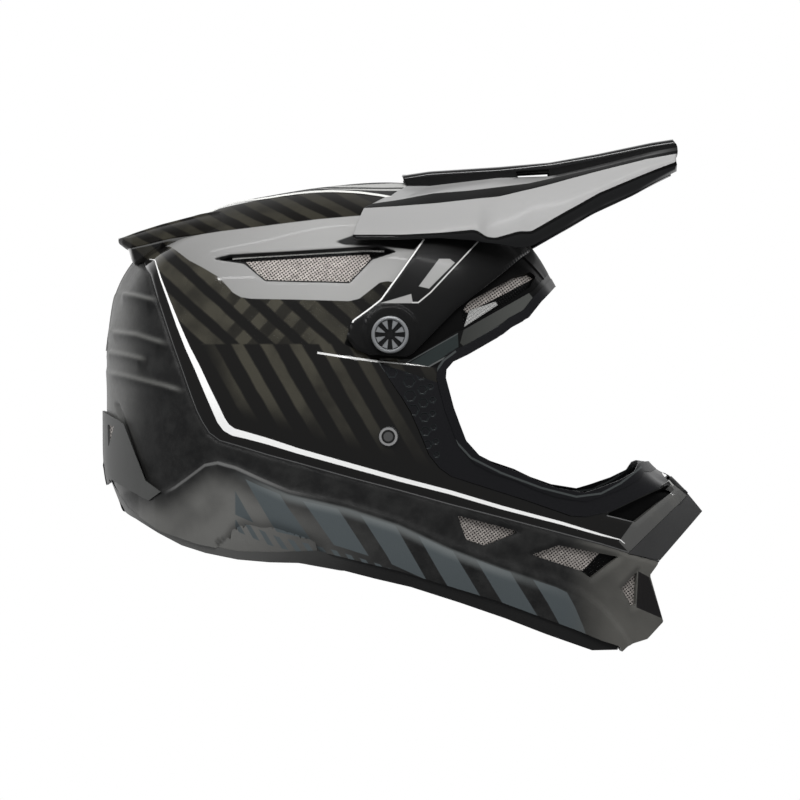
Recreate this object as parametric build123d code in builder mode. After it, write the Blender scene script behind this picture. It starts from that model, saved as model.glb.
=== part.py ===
from build123d import *
from functools import cache
from math import hypot, pi, sin, sqrt
import os

os.makedirs("parts", exist_ok=True)

# The helmet as it is worn: X runs forward, Y to the rider's left, Z up.
# The origin is under its middle, level with the lowest point of the chin bar.
length = 363.0
width = 246.0
height = 306.0

# Shell and what is let into it
shell_wall = 3.2
liner_gap = 0.4
panel_depth = 1.3
panel_stand = 0.3
guard_wall = 3.0
guard_gap = 0.2
cover_stand = 3.5
base_trim_wall = 5.8
base_trim_stand = 0.8
trim_web = 1.2
trim_reach = 5.5
trim_cover = 0.8
trim_back = 1.2
mesh_wall = 1.0
mesh_margin = 2.5
channel_margin = 3.4
cut_overrun = 60.0

# Foam and padding
head_length = 207.0
head_width = 176.0
dome_height = 88.0
dome_steps = 6
pad_wall = 7.0
pad_gap = 0.3
pad_window = 16.0
chin_liner_wall = 17.0
neck_roll_wall = 24.0
cheek_gap = 4.3
cheek_inner = 70.0
cheek_crown = 8.0
cheek_inset = 4.0
cheek_steps = 3
pad_edge = 4.0
strap_swing = 8.0
strap_side_gap = 2.0
strap_room = 14.0
strap_notch_drop = 60.0
filter_half = 28.0
filter_wall = 5.0
grille_half = 25.0
grille_slot = 4.0
grille_pitch = 8.0
grille_slots = 4

# Visor and its fastenings
visor_wall = 2.6
visor_gap = 1.2
arm_wall = 3.4
visor_travel = 7.0
carve_steps = 2
spine_flare = 1.2
lip_draw = 0.98
deck_slot_length = 20.0
deck_slot_width = 9.0
deck_slot_out = 25.0
arm_boss_skirt = 1.5
boss_radius = 10.0
boss_set_in = 7.0
boss_depth = 9.0
washer_wall = 1.05
washer_radius = 9.0
arm_boss_radius = 12.5
arm_boss_wall = 4.0
running_gap = 0.05
face_gap = 0.2
screw_radius = 2.95
screw_head_radius = 11.0
screw_head_wall = 4.0
screw_spokes = 9
screw_pocket_radius = 1.9
screw_pocket_depth = 2.2
screw_head_chamfer = 0.8
screw_drive_radius = 2.8
top_drive_slot = 1.0
top_nut_lift = 5.0
nut_barrel_radius = 4.5
nut_flange_radius = 8.0
nut_flange_wall = 1.4
nut_pocket_gap = 1.0
tongue_radius = 95.3
tongue_wall = 2.2
tongue_half = 15.0
tongue_reach = 19.0
top_screw_radius = 2.4
top_head_radius = 6.5
top_head_wall = 1.6
top_nut_radius = 6.5

# Chin strap
webbing_width = 20.0
webbing_wall = 1.6
rivet_head_radius = 6.1
rivet_head_wall = 1.4
rivet_radius = 2.45
anchor_wall = 1.2
anchor_radius = 8.0
strap_low = 50.0
strap_turn = 65.0
strap_lean = 9.3
strap_bend = 1.2
strap_slope = 26.0
strap_fold = 15.0
rivet_face = 120.6
plate_gap = 2.5
ring_wire = 3.0
ring_half = 13.5
ring_round = 6.0
ring_depth = 20.0
ring_spread = 3.0
ring_ease = 0.3
ring_place = 46.0
strap_tail = 62.0
snap_radius = 5.5
snap_wall = 2.4
snap_post_radius = 1.9
cheek_snap_radius = 6.0
cheek_snap_wall = 1.5

# Heights and widths that follow the overall sizes
crown_share = 0.92
middle_share = 0.488
head_along_share = 0.379
head_level_share = 0.527
under_share = 0.6
under_drop_share = 0.020
under_middle_share = 0.026
vent_inner_share = 0.16
deck_slot_along_share = 0.72
reach = width / 2 + cut_overrun
middle = height * middle_share

# Cross-sections of the shell from back to front. The key is the place along the length and each
# pair is a place out from the middle and a place up, from the crown down to the lower edge.
station_shares = {
    10: [(0, 586), (49, 582), (73, 573), (89, 547), (106, 498), (98, 439), (73, 386)],
    15: [(0, 645), (81, 637), (138, 618), (179, 582), (220, 498), (211, 414), (163, 355)],
    25: [(0, 700), (122, 690), (211, 665), (285, 616), (341, 498), (325, 380), (268, 324)],
    45: [(0, 747), (171, 737), (301, 708), (423, 649), (488, 498), (455, 359), (374, 282)],
    78: [(0, 790), (220, 782), (398, 761), (561, 684), (642, 498), (602, 341), (520, 229)],
    127: [(0, 824), (268, 818), (488, 796), (699, 684), (797, 498), (764, 351), (667, 184)],
    193: [(0, 865), (317, 859), (561, 816), (797, 686), (911, 498), (894, 363), (789, 151)],
    276: [(0, 889), (350, 881), (602, 827), (854, 680), (976, 492), (963, 333), (854, 131)],
    367: [(0, 908), (374, 896), (626, 839), (870, 678), (1000, 484), (980, 290), (870, 120)],
    466: [(0, 920), (374, 891), (626, 843), (862, 680), (984, 478), (959, 249), (854, 100)],
    549: [(0, 912), (358, 873), (593, 833), (829, 684), (935, 469), (919, 216), (821, 73)],
    623: [(0, 882), (325, 841), (545, 808), (764, 678), (878, 429), (870, 186), (780, 43)],
    681: [(0, 837), (293, 802), (480, 775), (683, 667), (821, 380), (821, 165), (740, 20)],
    731: [(0, 771), (260, 749), (415, 729), (610, 643), (764, 335), (772, 145), (699, -2)],
    788: [(0, 649), (220, 637), (358, 624), (537, 576), (691, 308), (699, 122), (634, -25)],
    846: [(0, 518), (187, 508), (309, 496), (455, 465), (610, 292), (610, 96), (545, -41)],
    904: [(0, 386), (163, 380), (252, 373), (374, 355), (504, 282), (504, 76), (447, -49)],
    954: [(0, 343), (146, 339), (220, 333), (309, 318), (407, 273), (407, 96), (350, -31)],
    1005: [(0, 308), (130, 304), (187, 298), (244, 286), (293, 269), (285, 175), (252, 57)],
}

widest_station = 367

# Outlines in the side view: place along the length, then place up
front_cut_shares = [
    (914, 365), (949, 339), (979, 302), (1002, 269), (929, 173), (911, 145), (934, 53),
    (907, 20), (871, 8), (858, -6), (858, -139), (1160, -139), (1160, 410), (995, 410),
]
base_line_shares = [
    (-30, 351), (15, 331), (50, 275), (109, 234), (172, 210), (235, 196), (299, 195),
    (365, 198), (388, 192), (499, 159), (658, 100), (711, 76), (785, 42), (828, 20), (858, 8),
]
below_base_shares = [(912, -139), (499, -218), (-30, -218)]
base_edge_shares = [
    (858, 0), (815, 0), (739, 33), (671, 65), (597, 96), (517, 127), (460, 143), (402, 161),
    (334, 174), (288, 175), (235, 180), (182, 192), (142, 206), (102, 229), (63, 255), (36, 269),
]
eyeport_shares = [
    (760, 714), (732, 680), (711, 649), (686, 633), (668, 616), (618, 582), (588, 565),
    (575, 547), (574, 531), (587, 473), (597, 441), (607, 410), (631, 378), (656, 363),
    (696, 347), (724, 331), (760, 316), (803, 308), (825, 316), (860, 331), (886, 347),
    (894, 363), (901, 367), (914, 365), (1094, 429), (1094, 714),
]
eye_panel_shares = [
    (463, 561), (502, 494), (517, 465), (536, 414), (547, 382), (564, 357), (583, 341),
    (638, 320), (701, 296), (780, 263), (805, 261), (845, 271), (944, 325), (960, 345), (914, 380),
]
brow_band_shares = [
    (509, 561), (590, 620), (603, 624), (719, 702), (750, 745), (780, 714), (732, 660),
    (686, 613), (618, 562), (588, 545), (544, 551),
]
guard_shares = [(974, 298), (982, 314), (1036, 269), (937, 170), (929, 173), (874, 188)]
cover_shares = [
    (-63, 478), (0, 467), (33, 449), (43, 441), (81, 331), (107, 310), (86, 292),
    (20, 331), (-63, 253),
]
cover_hole_shares = [(-40, 452), (10, 441), (25, 436), (15, 398), (-40, 398)]
liner_shares = [
    (-63, 1037), (896, 1037), (830, 714), (760, 714), (575, 543), (540, 520), (350, 520),
    (271, 469), (235, 355), (-63, 355),
]
chin_liner_shares = [(635, 488), (1094, 488), (1094, -218), (635, -218)]
mouth_shares = [(870, 290), (1094, 290), (1094, 190), (870, 190)]
beyond_roll_shares = [(-63, 343), (228, 343), (258, 253), (258, -200), (1200, -200), (1200, 1200), (-63, 1200)]
cheek_pad_shares = [
    (281, 449), (350, 496), (453, 504), (532, 496), (559, 429), (577, 367), (628, 312),
    (628, 175), (565, 126), (491, 134), (402, 157), (334, 172), (271, 204),
]
arm_shares = [
    (534, 797), (534, 871), (631, 884), (698, 892), (698, 806), (712, 776),
    (590, 663), (517, 575), (509, 569), (451, 573), (426, 582), (412, 606), (423, 639), (466, 678),
]
arm_window_shares = [(558, 790), (613, 796), (529, 680), (492, 680)]
vent_shares = {
    "side_vent": [
        (198, 764), (223, 771), (337, 778), (403, 782), (464, 788), (491, 778), (453, 764),
        (417, 717), (279, 721), (245, 755),
    ],
    "brow_vent": [
        (600, 665), (615, 682), (691, 731), (714, 739), (724, 731), (714, 710), (673, 676),
        (603, 627),
    ],
    "cheek_vent": [(593, 265), (696, 233), (638, 206), (607, 218)],
    "jaw_vent": [(714, 188), (760, 206), (860, 182), (813, 141), (797, 155)],
    "front_vent": [(864, 120), (891, 153), (889, 88), (881, 84)],
}
slot_shares = [(838, 265), (949, 324), (955, 312), (888, 249)]
pivot_shares = (483, 614)
rivet_shares = (481, 418)
top_screw_along_share = 0.519
cheek_snap_shares = [(370, 440), (370, 250), (555, 260)]

# The tail over the back of the shell: place along, half width, top, lip and underside
tail_shares = [
    (27, 146, 809, 806, 801),
    (53, 341, 821, 798, 780),
    (102, 455, 837, 802, 765),
    (180, 537, 859, 812, 765),
]

# The visor: place along, then spine half width, panel top half width, panel foot half width,
# and the heights of the spine, the deck, the panel top, the panel foot and the lip
visor_shares = [
    (504, 130, 470, 710, 931, 912, 870, 802, 798),
    (623, 130, 488, 715, 940, 918, 880, 814, 790),
    (714, 130, 463, 650, 951, 926, 898, 812, 782),
    (757, 130, 430, 600, 956, 935, 908, 841, 815),
    (830, 140, 374, 505, 970, 958, 937, 892, 864),
    (912, 150, 285, 358, 989, 978, 961, 933, 908),
    (959, 130, 211, 268, 998, 992, 973, 957, 942),
]


def along(share):
    """X of a place given in thousandths of the length"""
    return length * (share / 1000 - 0.5)


def upward(share):
    """Z of a place given in thousandths of the height"""
    return height * share / 1000


def outward(share):
    """Y of a place given in thousandths of the half width"""
    return width / 2 * share / 1000


def side(point):
    """A point of the side view"""
    return (along(point[0]), upward(point[1]))


def across(x):
    """The plane of a cross-section, with its own x to the left and its own y up"""
    return Plane(origin=(x, 0, 0), x_dir=(0, 1, 0), z_dir=(1, 0, 0))


# How far round each corner lies, the same in every section so that the surface stays simple
widest = [(outward(out), upward(up)) for out, up in station_shares[widest_station]]
spans = [hypot(b[0] - a[0], b[1] - a[1]) for a, b in zip(widest, widest[1:])]
ring_turns = [0.0]
for span in [*spans, *[widest[-1][0] / 2] * 2]:
    ring_turns.append(ring_turns[-1] + span)


@cache
def full_form():
    """The smooth closed form of the shell"""
    with BuildPart() as closed:
        for place, corners in station_shares.items():
            half = [(outward(out), upward(up)) for out, up in corners]
            edge_y, edge_z = half[-1]
            underside = [
                (edge_y * under_share, edge_z - height * under_drop_share),
                (0, edge_z - height * under_middle_share),
            ]
            with BuildSketch(across(along(place))):
                with BuildLine():
                    half_ring = [*half, *underside]
                    ends = [(1, 0), (-1, 0)]
                    add(Edge.make_spline(half_ring, tangents=ends, parameters=ring_turns))
                    Line(half_ring[-1], half_ring[0])
                make_face()
        loft()
        mirror(about=Plane.XZ)
    return closed.part


@cache
def form(inset):
    """The form drawn in by inset on every side"""
    draw = (1 - 2 * inset / length, 1 - 2 * inset / width, 1 - 2 * inset / (height * crown_share))
    drawn = scale(full_form(), by=draw, mode=Mode.PRIVATE)
    return Pos(0, 0, middle * (1 - draw[2])) * drawn


def outline_prism(points, near, far, grow=0.0):
    """An outline in the side view carried across from y = near to y = far"""
    with BuildPart() as prism:
        with BuildSketch(Plane.XZ.offset(-far)):
            with BuildLine():
                Polyline(*points, close=True)
            make_face()
            if grow:
                offset(amount=grow)
        extrude(amount=far - near)
    return prism.part


def side_prism(outline_shares, near=-reach, far=reach, grow=0.0):
    """The same for an outline given in shares"""
    return outline_prism([side(point) for point in outline_shares], near, far, grow)


@cache
def body(inset):
    """The form with its chin drawn in by inset too"""
    with BuildPart() as drawn:
        add(form(inset))
        add(side_prism(front_cut_shares, grow=inset), mode=Mode.SUBTRACT)
    return drawn.part


@cache
def eyeport(grow):
    """The opening for the face, wider by grow"""
    return side_prism(eyeport_shares, grow=grow)


def layer(outer, inner, outline_shares, near=-reach, far=reach, grow=0.0):
    """The part of the body between two insets that lies inside a side view outline"""
    with BuildPart() as slab:
        add(body(outer))
        add(side_prism(outline_shares, near, far, grow), mode=Mode.INTERSECT)
        add(body(inner), mode=Mode.SUBTRACT)
    return slab.part


def peg(point, radius, start, end):
    """A round peg across the helmet at a point of the side view, from y = start to y = end"""
    x, z = point
    with BuildPart() as round_peg:
        with BuildSketch(Plane(origin=(x, start, z), x_dir=(1, 0, 0), z_dir=(0, 1, 0))):
            Circle(radius)
        extrude(amount=end - start)
    return round_peg.part


def head_space(ease):
    """Room for a head, larger by ease all round, open to the neck"""
    level = upward(head_level_share * 1000)
    centre = along(head_along_share * 1000)
    rises = [sin(pi / 2 * step / dome_steps) for step in range(dome_steps)]
    with BuildPart() as space:
        for rise in rises:
            with BuildSketch(Plane.XY.offset(level + (dome_height + ease) * rise)):
                with Locations((centre, 0)):
                    spread = sqrt(1 - rise * rise)
                    Ellipse((head_length / 2 + ease) * spread, (head_width / 2 + ease) * spread)
        loft()
        with BuildSketch(Plane.XY.offset(level)):
            with Locations((centre, 0)):
                Ellipse(head_length / 2 + ease, head_width / 2 + ease)
        extrude(amount=-(level + cut_overrun))
    return space.part


def save(piece, name):
    """Label a piece and write it"""
    piece.label = name
    export_step(piece, f"parts/{name}.step")


def save_pair(piece, name):
    """Write the right piece and its mirror image on the left"""
    save(piece, f"{name}_right")
    save(mirror(piece, about=Plane.XZ), f"{name}_left")


# Places that several pieces share
pivot = side(pivot_shares)
rivet = side(rivet_shares)
boss_face = width / 2 - boss_set_in
boss_back = boss_face - boss_depth
washer_face = boss_face + washer_wall
arm_boss_face = washer_face + face_gap
arm_outer = arm_boss_face + arm_boss_wall
vent_inner = -width * vent_inner_share
top_axis_lean = (along(top_screw_along_share * 1000) - pivot[0]) / tongue_radius
top_axis = (top_axis_lean, 0, sqrt(1 - top_axis_lean * top_axis_lean))
top_plane = Plane(origin=(pivot[0], 0, pivot[1]), x_dir=(top_axis[2], 0, -top_axis[0]), z_dir=top_axis)
top_head_seat = tongue_radius + tongue_wall + face_gap
panel_region = {"eye": eye_panel_shares, "brow": brow_band_shares}


def tail():
    """The lip of the crown that stands out over the back"""
    with BuildPart() as overhang:
        for place, half, top, lip, under in tail_shares:
            edge = outward(half)
            with BuildSketch(across(along(place))):
                with BuildLine():
                    rim = Polyline(
                        (edge, upward(lip)), (edge, upward(under)),
                        (-edge, upward(under)), (-edge, upward(lip)),
                    )
                    ThreePointArc(rim @ 1, (0, upward(top)), rim @ 0)
                make_face()
        loft(ruled=True)
    return overhang.part


@cache
def panel_room(outline):
    """What is cut from the outside of the shell so that a surround panel lies in it"""
    with BuildPart() as room:
        add(side_prism(panel_region[outline]))
        add(eyeport(trim_reach), mode=Mode.SUBTRACT)
        add(form(panel_depth), mode=Mode.SUBTRACT)
    return room.part


# Outer shell: one closed wall with the tail, the eyeport, the vents and the seats cut in it
with BuildPart() as outer_shell:
    add(body(0))
    add(tail())
    add(body(shell_wall), mode=Mode.SUBTRACT)
    add([peg(pivot, boss_radius, sign * boss_back, sign * boss_face) for sign in (-1, 1)])
    cuts = [
        side_prism(base_line_shares + below_base_shares),
        eyeport(trim_web),
        side_prism(guard_shares),
        peg(pivot, nut_barrel_radius + running_gap, -boss_face, boss_face),
        peg(pivot, nut_flange_radius + running_gap, -boss_back, boss_back),
        peg(rivet, rivet_radius, -reach, reach),
        peg(rivet, rivet_head_radius + running_gap, -reach, -rivet_face),
        peg(rivet, rivet_head_radius + running_gap, rivet_face, reach),
    ]
    cuts += [panel_room(outline) for outline in panel_region]
    for outline_shares in (*vent_shares.values(), slot_shares, cover_hole_shares):
        cuts.append(side_prism(outline_shares, near=-reach, far=vent_inner))
        cuts.append(side_prism(outline_shares, near=-vent_inner, far=reach))
    add(cuts, mode=Mode.SUBTRACT)
    with BuildSketch(top_plane.offset(tongue_radius - tongue_half)):
        Circle(top_screw_radius + running_gap)
    extrude(amount=tongue_half, mode=Mode.SUBTRACT)
save(outer_shell.part, "outer_shell")


# Matte surround panels: one each side of the face, and one across the brow
with BuildPart() as eyeport_panel:
    add(body(-panel_stand))
    add(side_prism(eye_panel_shares, near=-reach, far=-face_gap), mode=Mode.INTERSECT)
    add([eyeport(trim_reach), form(panel_depth)], mode=Mode.SUBTRACT)
save_pair(eyeport_panel.part, "eyeport_panel")

with BuildPart() as brow_band:
    add(layer(-panel_stand, panel_depth, brow_band_shares))
    add(eyeport(trim_reach), mode=Mode.SUBTRACT)
save(brow_band.part, "brow_band")


# Rubber channel over the edge of the eyeport
with BuildPart() as shell_rim:
    add(body(0))
    add(eyeport(trim_reach + trim_web), mode=Mode.INTERSECT)
    add([body(shell_wall), eyeport(trim_web)], mode=Mode.SUBTRACT)

with BuildPart() as eyeport_trim:
    add(eyeport(trim_reach))
    add(body(-trim_cover), mode=Mode.INTERSECT)
    add([eyeport(0), body(shell_wall + trim_back), shell_rim.part], mode=Mode.SUBTRACT)
save(eyeport_trim.part, "eyeport_trim")


# Rubber bead under the lower edge of the shell
bead_shares = base_line_shares[1:] + base_edge_shares
save(layer(-base_trim_stand, base_trim_wall - base_trim_stand, bead_shares), "base_trim")


# Mouth guard: the front of the chin bar, with a grille, and the filter behind it
with BuildPart() as mouth_guard:
    add(layer(0, guard_wall, guard_shares, grow=-guard_gap))
    row_base = upward(sum(up for _, up in mouth_shares) / len(mouth_shares))
    with BuildSketch(Plane.YZ):
        for row in range(grille_slots):
            lift = (row - (grille_slots - 1) / 2) * grille_pitch
            with Locations((0, row_base + lift)):
                SlotOverall(2 * grille_half, grille_slot)
    extrude(amount=length, mode=Mode.SUBTRACT)
save(mouth_guard.part, "mouth_guard")

filter_outer = guard_wall + face_gap
save(
    layer(filter_outer, filter_outer + filter_wall, mouth_shares, -filter_half, filter_half),
    "mouth_filter",
)


# Meshes in the vents, behind the wall of the shell
for name, outline_shares in vent_shares.items():
    mesh = layer(
        shell_wall + face_gap / 2,
        shell_wall + face_gap / 2 + mesh_wall,
        outline_shares,
        far=vent_inner,
        grow=mesh_margin,
    )
    save_pair(mesh, f"{name}_mesh")


# Cover over the exhaust vents at the back, and the mesh in them
with BuildPart() as rear_vent_cover:
    add(layer(-cover_stand, 0, cover_shares))
    add(side_prism(bead_shares, grow=face_gap), mode=Mode.SUBTRACT)
    for near, far in ((-reach, vent_inner), (-vent_inner, reach)):
        add(side_prism(cover_hole_shares, near, far), mode=Mode.SUBTRACT)
save(rear_vent_cover.part, "rear_vent_cover")
mesh_set_in = (cover_stand - mesh_wall) / 2
save_pair(layer(-cover_stand + mesh_set_in, -mesh_set_in, cover_hole_shares, far=vent_inner), "rear_vent_mesh")


# Foam: the crown liner round the head and the liner of the chin bar
liner_outer = shell_wall + liner_gap
vent_channels = [side_prism(shares, grow=channel_margin) for shares in vent_shares.values()]
edge_room = trim_reach + liner_gap
with BuildPart() as crown_liner:
    add(body(liner_outer))
    add(side_prism(liner_shares), mode=Mode.INTERSECT)
    cuts = [head_space(0), eyeport(edge_room), *vent_channels]
    nut_room = boss_back - nut_flange_wall - nut_pocket_gap
    for sign in (-1, 1):
        cuts.append(peg(pivot, boss_radius + nut_pocket_gap, sign * nut_room, sign * reach))
    with BuildPart() as nut_pocket:
        with BuildSketch(top_plane.offset(tongue_radius - tongue_half)):
            Circle(top_nut_radius + nut_pocket_gap)
        extrude(amount=tongue_half)
    cuts.append(nut_pocket.part)
    add(cuts, mode=Mode.SUBTRACT)
save(crown_liner.part, "crown_liner")

with BuildPart() as chin_bar_liner:
    add(body(liner_outer))
    add(side_prism(chin_liner_shares), mode=Mode.INTERSECT)
    cuts = [
        body(liner_outer + chin_liner_wall),
        eyeport(edge_room),
        side_prism(base_line_shares + below_base_shares, grow=liner_gap),
        side_prism(mouth_shares, -filter_half - face_gap, filter_half + face_gap, face_gap),
        side_prism(slot_shares, grow=channel_margin),
        *vent_channels,
    ]
    add(cuts, mode=Mode.SUBTRACT)
save(chin_bar_liner.part, "chin_bar_liner")


# Comfort padding: the crown pad, the neck roll and the cheek pads
with BuildPart() as crown_pad:
    add(head_space(-pad_gap))
    add(side_prism(liner_shares, grow=-pad_edge), mode=Mode.INTERSECT)
    cuts = [head_space(-pad_gap - pad_wall), eyeport(edge_room + pad_edge)]
    with BuildPart() as windows:
        with BuildSketch(Plane.XY.offset(upward(head_level_share * 1000) + dome_height / 2)):
            with Locations((along(head_along_share * 1000), 0)):
                with GridLocations(0, 4 * pad_window, 1, 2):
                    SlotOverall(head_length / 2, pad_window)
        extrude(amount=dome_height)
    cuts.append(windows.part)
    add(cuts, mode=Mode.SUBTRACT)
save(crown_pad.part, "crown_pad")

roll_outer = base_trim_wall - base_trim_stand + liner_gap
with BuildPart() as neck_roll:
    add(body(roll_outer))
    add(side_prism(base_line_shares + below_base_shares), mode=Mode.SUBTRACT)
    add(side_prism(beyond_roll_shares), mode=Mode.SUBTRACT)
    add(head_space(-pad_gap), mode=Mode.SUBTRACT)
    add(body(roll_outer + neck_roll_wall), mode=Mode.SUBTRACT)
save(neck_roll.part, "neck_roll")

swing_spread = sin(strap_swing / 180 * pi)
notch_top = webbing_width / 2 + strap_side_gap
notch_foot = notch_top + strap_notch_drop * swing_spread
notch_deep = notch_top + 2 * strap_notch_drop * swing_spread
notch_z = rivet[1] - strap_notch_drop
channel = [
    (rivet[0] - notch_top, rivet[1] + notch_top),
    (rivet[0] + notch_top, rivet[1] + notch_top),
    (rivet[0] + notch_foot, notch_z),
    (rivet[0] - notch_foot, notch_z),
]
notch = [
    (rivet[0] - notch_foot, notch_z + face_gap),
    (rivet[0] + notch_foot, notch_z + face_gap),
    (rivet[0] + notch_deep, notch_z - strap_notch_drop),
    (rivet[0] - notch_deep, notch_z - strap_notch_drop),
]
with BuildPart() as strap_channel:
    add(outline_prism(channel, -reach, 0))
    add(body(shell_wall + strap_room), mode=Mode.SUBTRACT)
pad_outer = shell_wall + cheek_gap
with BuildPart() as cheek_pad:
    add(body(pad_outer))
    add(side_prism(cheek_pad_shares, far=-cheek_inner), mode=Mode.INTERSECT)
    for step in range(1, cheek_steps + 1):
        rise = step / cheek_steps
        draw = cheek_inset * (1 - sqrt(1 - rise * rise)) + cheek_inset * rise / 2
        far = -cheek_inner + cheek_crown * rise
        add(side_prism(cheek_pad_shares, -cheek_inner - cheek_crown, far, -draw))
    add([strap_channel.part, outline_prism(notch, -reach, 0)], mode=Mode.SUBTRACT)
save_pair(cheek_pad.part, "cheek_pad")


# Press snaps between the cheek pads and the shell
snap_pegs = [peg(side(place), cheek_snap_radius, -reach, -cheek_inner) for place in cheek_snap_shares]


def snap_discs(outer, inner):
    """Three discs that follow the wall between two insets"""
    with BuildPart() as discs:
        add(snap_pegs)
        add(body(outer), mode=Mode.INTERSECT)
        add(body(inner), mode=Mode.SUBTRACT)
    return discs.part


snap_seat = shell_wall + face_gap / 2
save_pair(snap_discs(snap_seat, snap_seat + cheek_snap_wall), "shell_snaps")
save_pair(snap_discs(snap_seat + cheek_snap_wall + face_gap, pad_outer - face_gap / 2), "pad_snaps")


# Visor: the peak, its tongue over the crown and an arm down each side to the pivot
def peak(wall):
    """The peak as a closed form, drawn in by wall and then open below and behind"""
    last = len(visor_shares) - 1
    with BuildPart() as closed:
        for number, (place, spine, top, foot, *levels) in enumerate(visor_shares):
            x = along(place)
            if wall and number == 0:
                x -= cut_overrun
            if wall and number == last:
                x -= wall
            spine_z, deck_z, top_z, foot_z, lip_z = [upward(level) - wall for level in levels]
            half = [
                (outward(spine) - wall, spine_z),
                (outward(spine) * spine_flare - wall, deck_z),
                (outward(top) - wall, top_z),
                (outward(foot) - wall, foot_z),
                (outward(foot) * lip_draw - wall, lip_z - (cut_overrun if wall else 0)),
            ]
            ring = half + [(-y, z) for y, z in reversed(half)]
            with BuildSketch(across(x)):
                with BuildLine():
                    Polyline(*ring, close=True)
                make_face()
        loft(ruled=True)
    return closed.part


tongue_outer = tongue_radius + tongue_wall
travel_reach = tongue_outer * sin(visor_travel / 180 * pi)
top_x = along(top_screw_along_share * 1000)
arm_out = visor_gap + arm_wall
shank_room = top_screw_radius + face_gap
head_room = top_head_radius + face_gap
with BuildPart() as visor:
    add(peak(0))
    add(peak(visor_wall), mode=Mode.SUBTRACT)
    for near, far in ((-reach, vent_inner), (-vent_inner, reach)):
        with BuildPart(mode=Mode.PRIVATE) as arm:
            add(body(-arm_out))
            add(side_prism(arm_shares, near, far), mode=Mode.INTERSECT)
        add(arm.part)
    for sign in (-1, 1):
        add(peg(pivot, arm_boss_radius + arm_boss_skirt, sign * boss_back, sign * arm_outer))
    with BuildSketch(Plane.XZ.offset(-tongue_half)):
        with Locations(pivot):
            Circle(tongue_outer)
            Circle(tongue_radius, mode=Mode.SUBTRACT)
        with Locations((top_x + tongue_reach - top_head_radius, pivot[1] + tongue_radius)):
            Rectangle(2 * tongue_reach, tongue_radius, mode=Mode.INTERSECT)
    extrude(amount=2 * tongue_half)
    # room for the shell over the whole travel
    for step in range(carve_steps + 1):
        turn = visor_travel * step / carve_steps
        room = body(-visor_gap).rotate(Axis((pivot[0], 0, pivot[1]), (0, 1, 0)), turn)
        add(room, mode=Mode.SUBTRACT)
    cuts = [peg(pivot, screw_radius + face_gap, -reach, reach)]
    for sign in (-1, 1):
        cuts.append(peg(pivot, arm_boss_radius, 0, sign * arm_boss_face))
    for near, far in ((-reach, vent_inner), (-vent_inner, reach)):
        cuts.append(side_prism(arm_window_shares, near, far))
    with BuildPart(mode=Mode.PRIVATE) as deck_slots:
        with BuildSketch(Plane.XY):
            with Locations((along(deck_slot_along_share * 1000), 0)):
                with GridLocations(0, 2 * deck_slot_out, 1, 2):
                    SlotOverall(deck_slot_length, deck_slot_width)
        extrude(amount=2 * height)
    cuts.append(deck_slots.part)
    with BuildPart(mode=Mode.PRIVATE) as tongue_slot:
        with BuildSketch(top_plane.offset(tongue_radius - tongue_half)):
            with Locations((travel_reach / 2, 0)):
                SlotOverall(travel_reach + 2 * shank_room, 2 * shank_room)
        extrude(amount=2 * tongue_half)
        with BuildSketch(top_plane.offset(tongue_outer)):
            with Locations((travel_reach / 2, 0)):
                SlotOverall(travel_reach + 2 * head_room, 2 * head_room)
        extrude(amount=tongue_half)
    cuts.append(tongue_slot.part)
    add(cuts, mode=Mode.SUBTRACT)
save(visor.part, "visor")


# Pivot hardware: a washer under each arm, the screw through it and the nut behind the shell
with BuildPart() as visor_washer:
    add(peg(pivot, washer_radius, -washer_face, -boss_face))
    add(peg(pivot, screw_radius + running_gap, -reach, 0), mode=Mode.SUBTRACT)
save_pair(visor_washer.part, "visor_washer")

head_seat = arm_outer + face_gap
head_face = head_seat + screw_head_wall
with BuildPart() as visor_screw:
    add(peg(pivot, screw_head_radius, -head_face, -head_seat))
    chamfer(edges().filter_by(GeomType.CIRCLE).group_by(Axis.Y)[0], screw_head_chamfer)
    with BuildSketch(Plane.XZ.offset(head_face)):
        with Locations(pivot):
            with PolarLocations(screw_head_radius - 2 * screw_pocket_radius, screw_spokes):
                Circle(screw_pocket_radius)
            RegularPolygon(screw_drive_radius, 6)
    extrude(amount=-screw_pocket_depth, mode=Mode.SUBTRACT)
    add(peg(pivot, screw_radius, -head_seat, -boss_back - running_gap))
save_pair(visor_screw.part, "visor_screw")

with BuildPart() as visor_nut:
    add(peg(pivot, nut_barrel_radius, -boss_face + face_gap, -boss_back))
    add(peg(pivot, nut_flange_radius, -boss_back, -boss_back + nut_flange_wall))
    add(peg(pivot, screw_radius + running_gap, -reach, 0), mode=Mode.SUBTRACT)
save_pair(visor_nut.part, "visor_nut")

nut_low = tongue_radius - tongue_half + nut_flange_wall
with BuildPart() as visor_top_nut:
    with BuildSketch(top_plane.offset(nut_low + top_nut_lift)):
        Circle(top_nut_radius)
    extrude(amount=tongue_half)
    add(body(shell_wall), mode=Mode.INTERSECT)
    with BuildSketch(top_plane):
        Circle(top_screw_radius + running_gap)
    extrude(amount=2 * tongue_radius, mode=Mode.SUBTRACT)
save(visor_top_nut.part, "visor_top_nut")

with BuildPart() as visor_top_screw:
    with BuildSketch(top_plane.offset(top_head_seat)):
        Circle(top_head_radius)
    extrude(amount=top_head_wall)
    fillet(edges().filter_by(GeomType.CIRCLE).group_by(Axis.Z)[-1], top_head_wall / 2)
    with BuildSketch(top_plane.offset(top_head_seat + top_head_wall)):
        Rectangle(top_drive_slot, 2 * top_head_radius)
    extrude(amount=-top_drive_slot, mode=Mode.SUBTRACT)
    with BuildSketch(top_plane.offset(top_head_seat)):
        Circle(top_screw_radius)
    extrude(amount=nut_low + top_nut_lift - top_head_seat)
save(visor_top_screw.part, "visor_top_screw")


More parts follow.
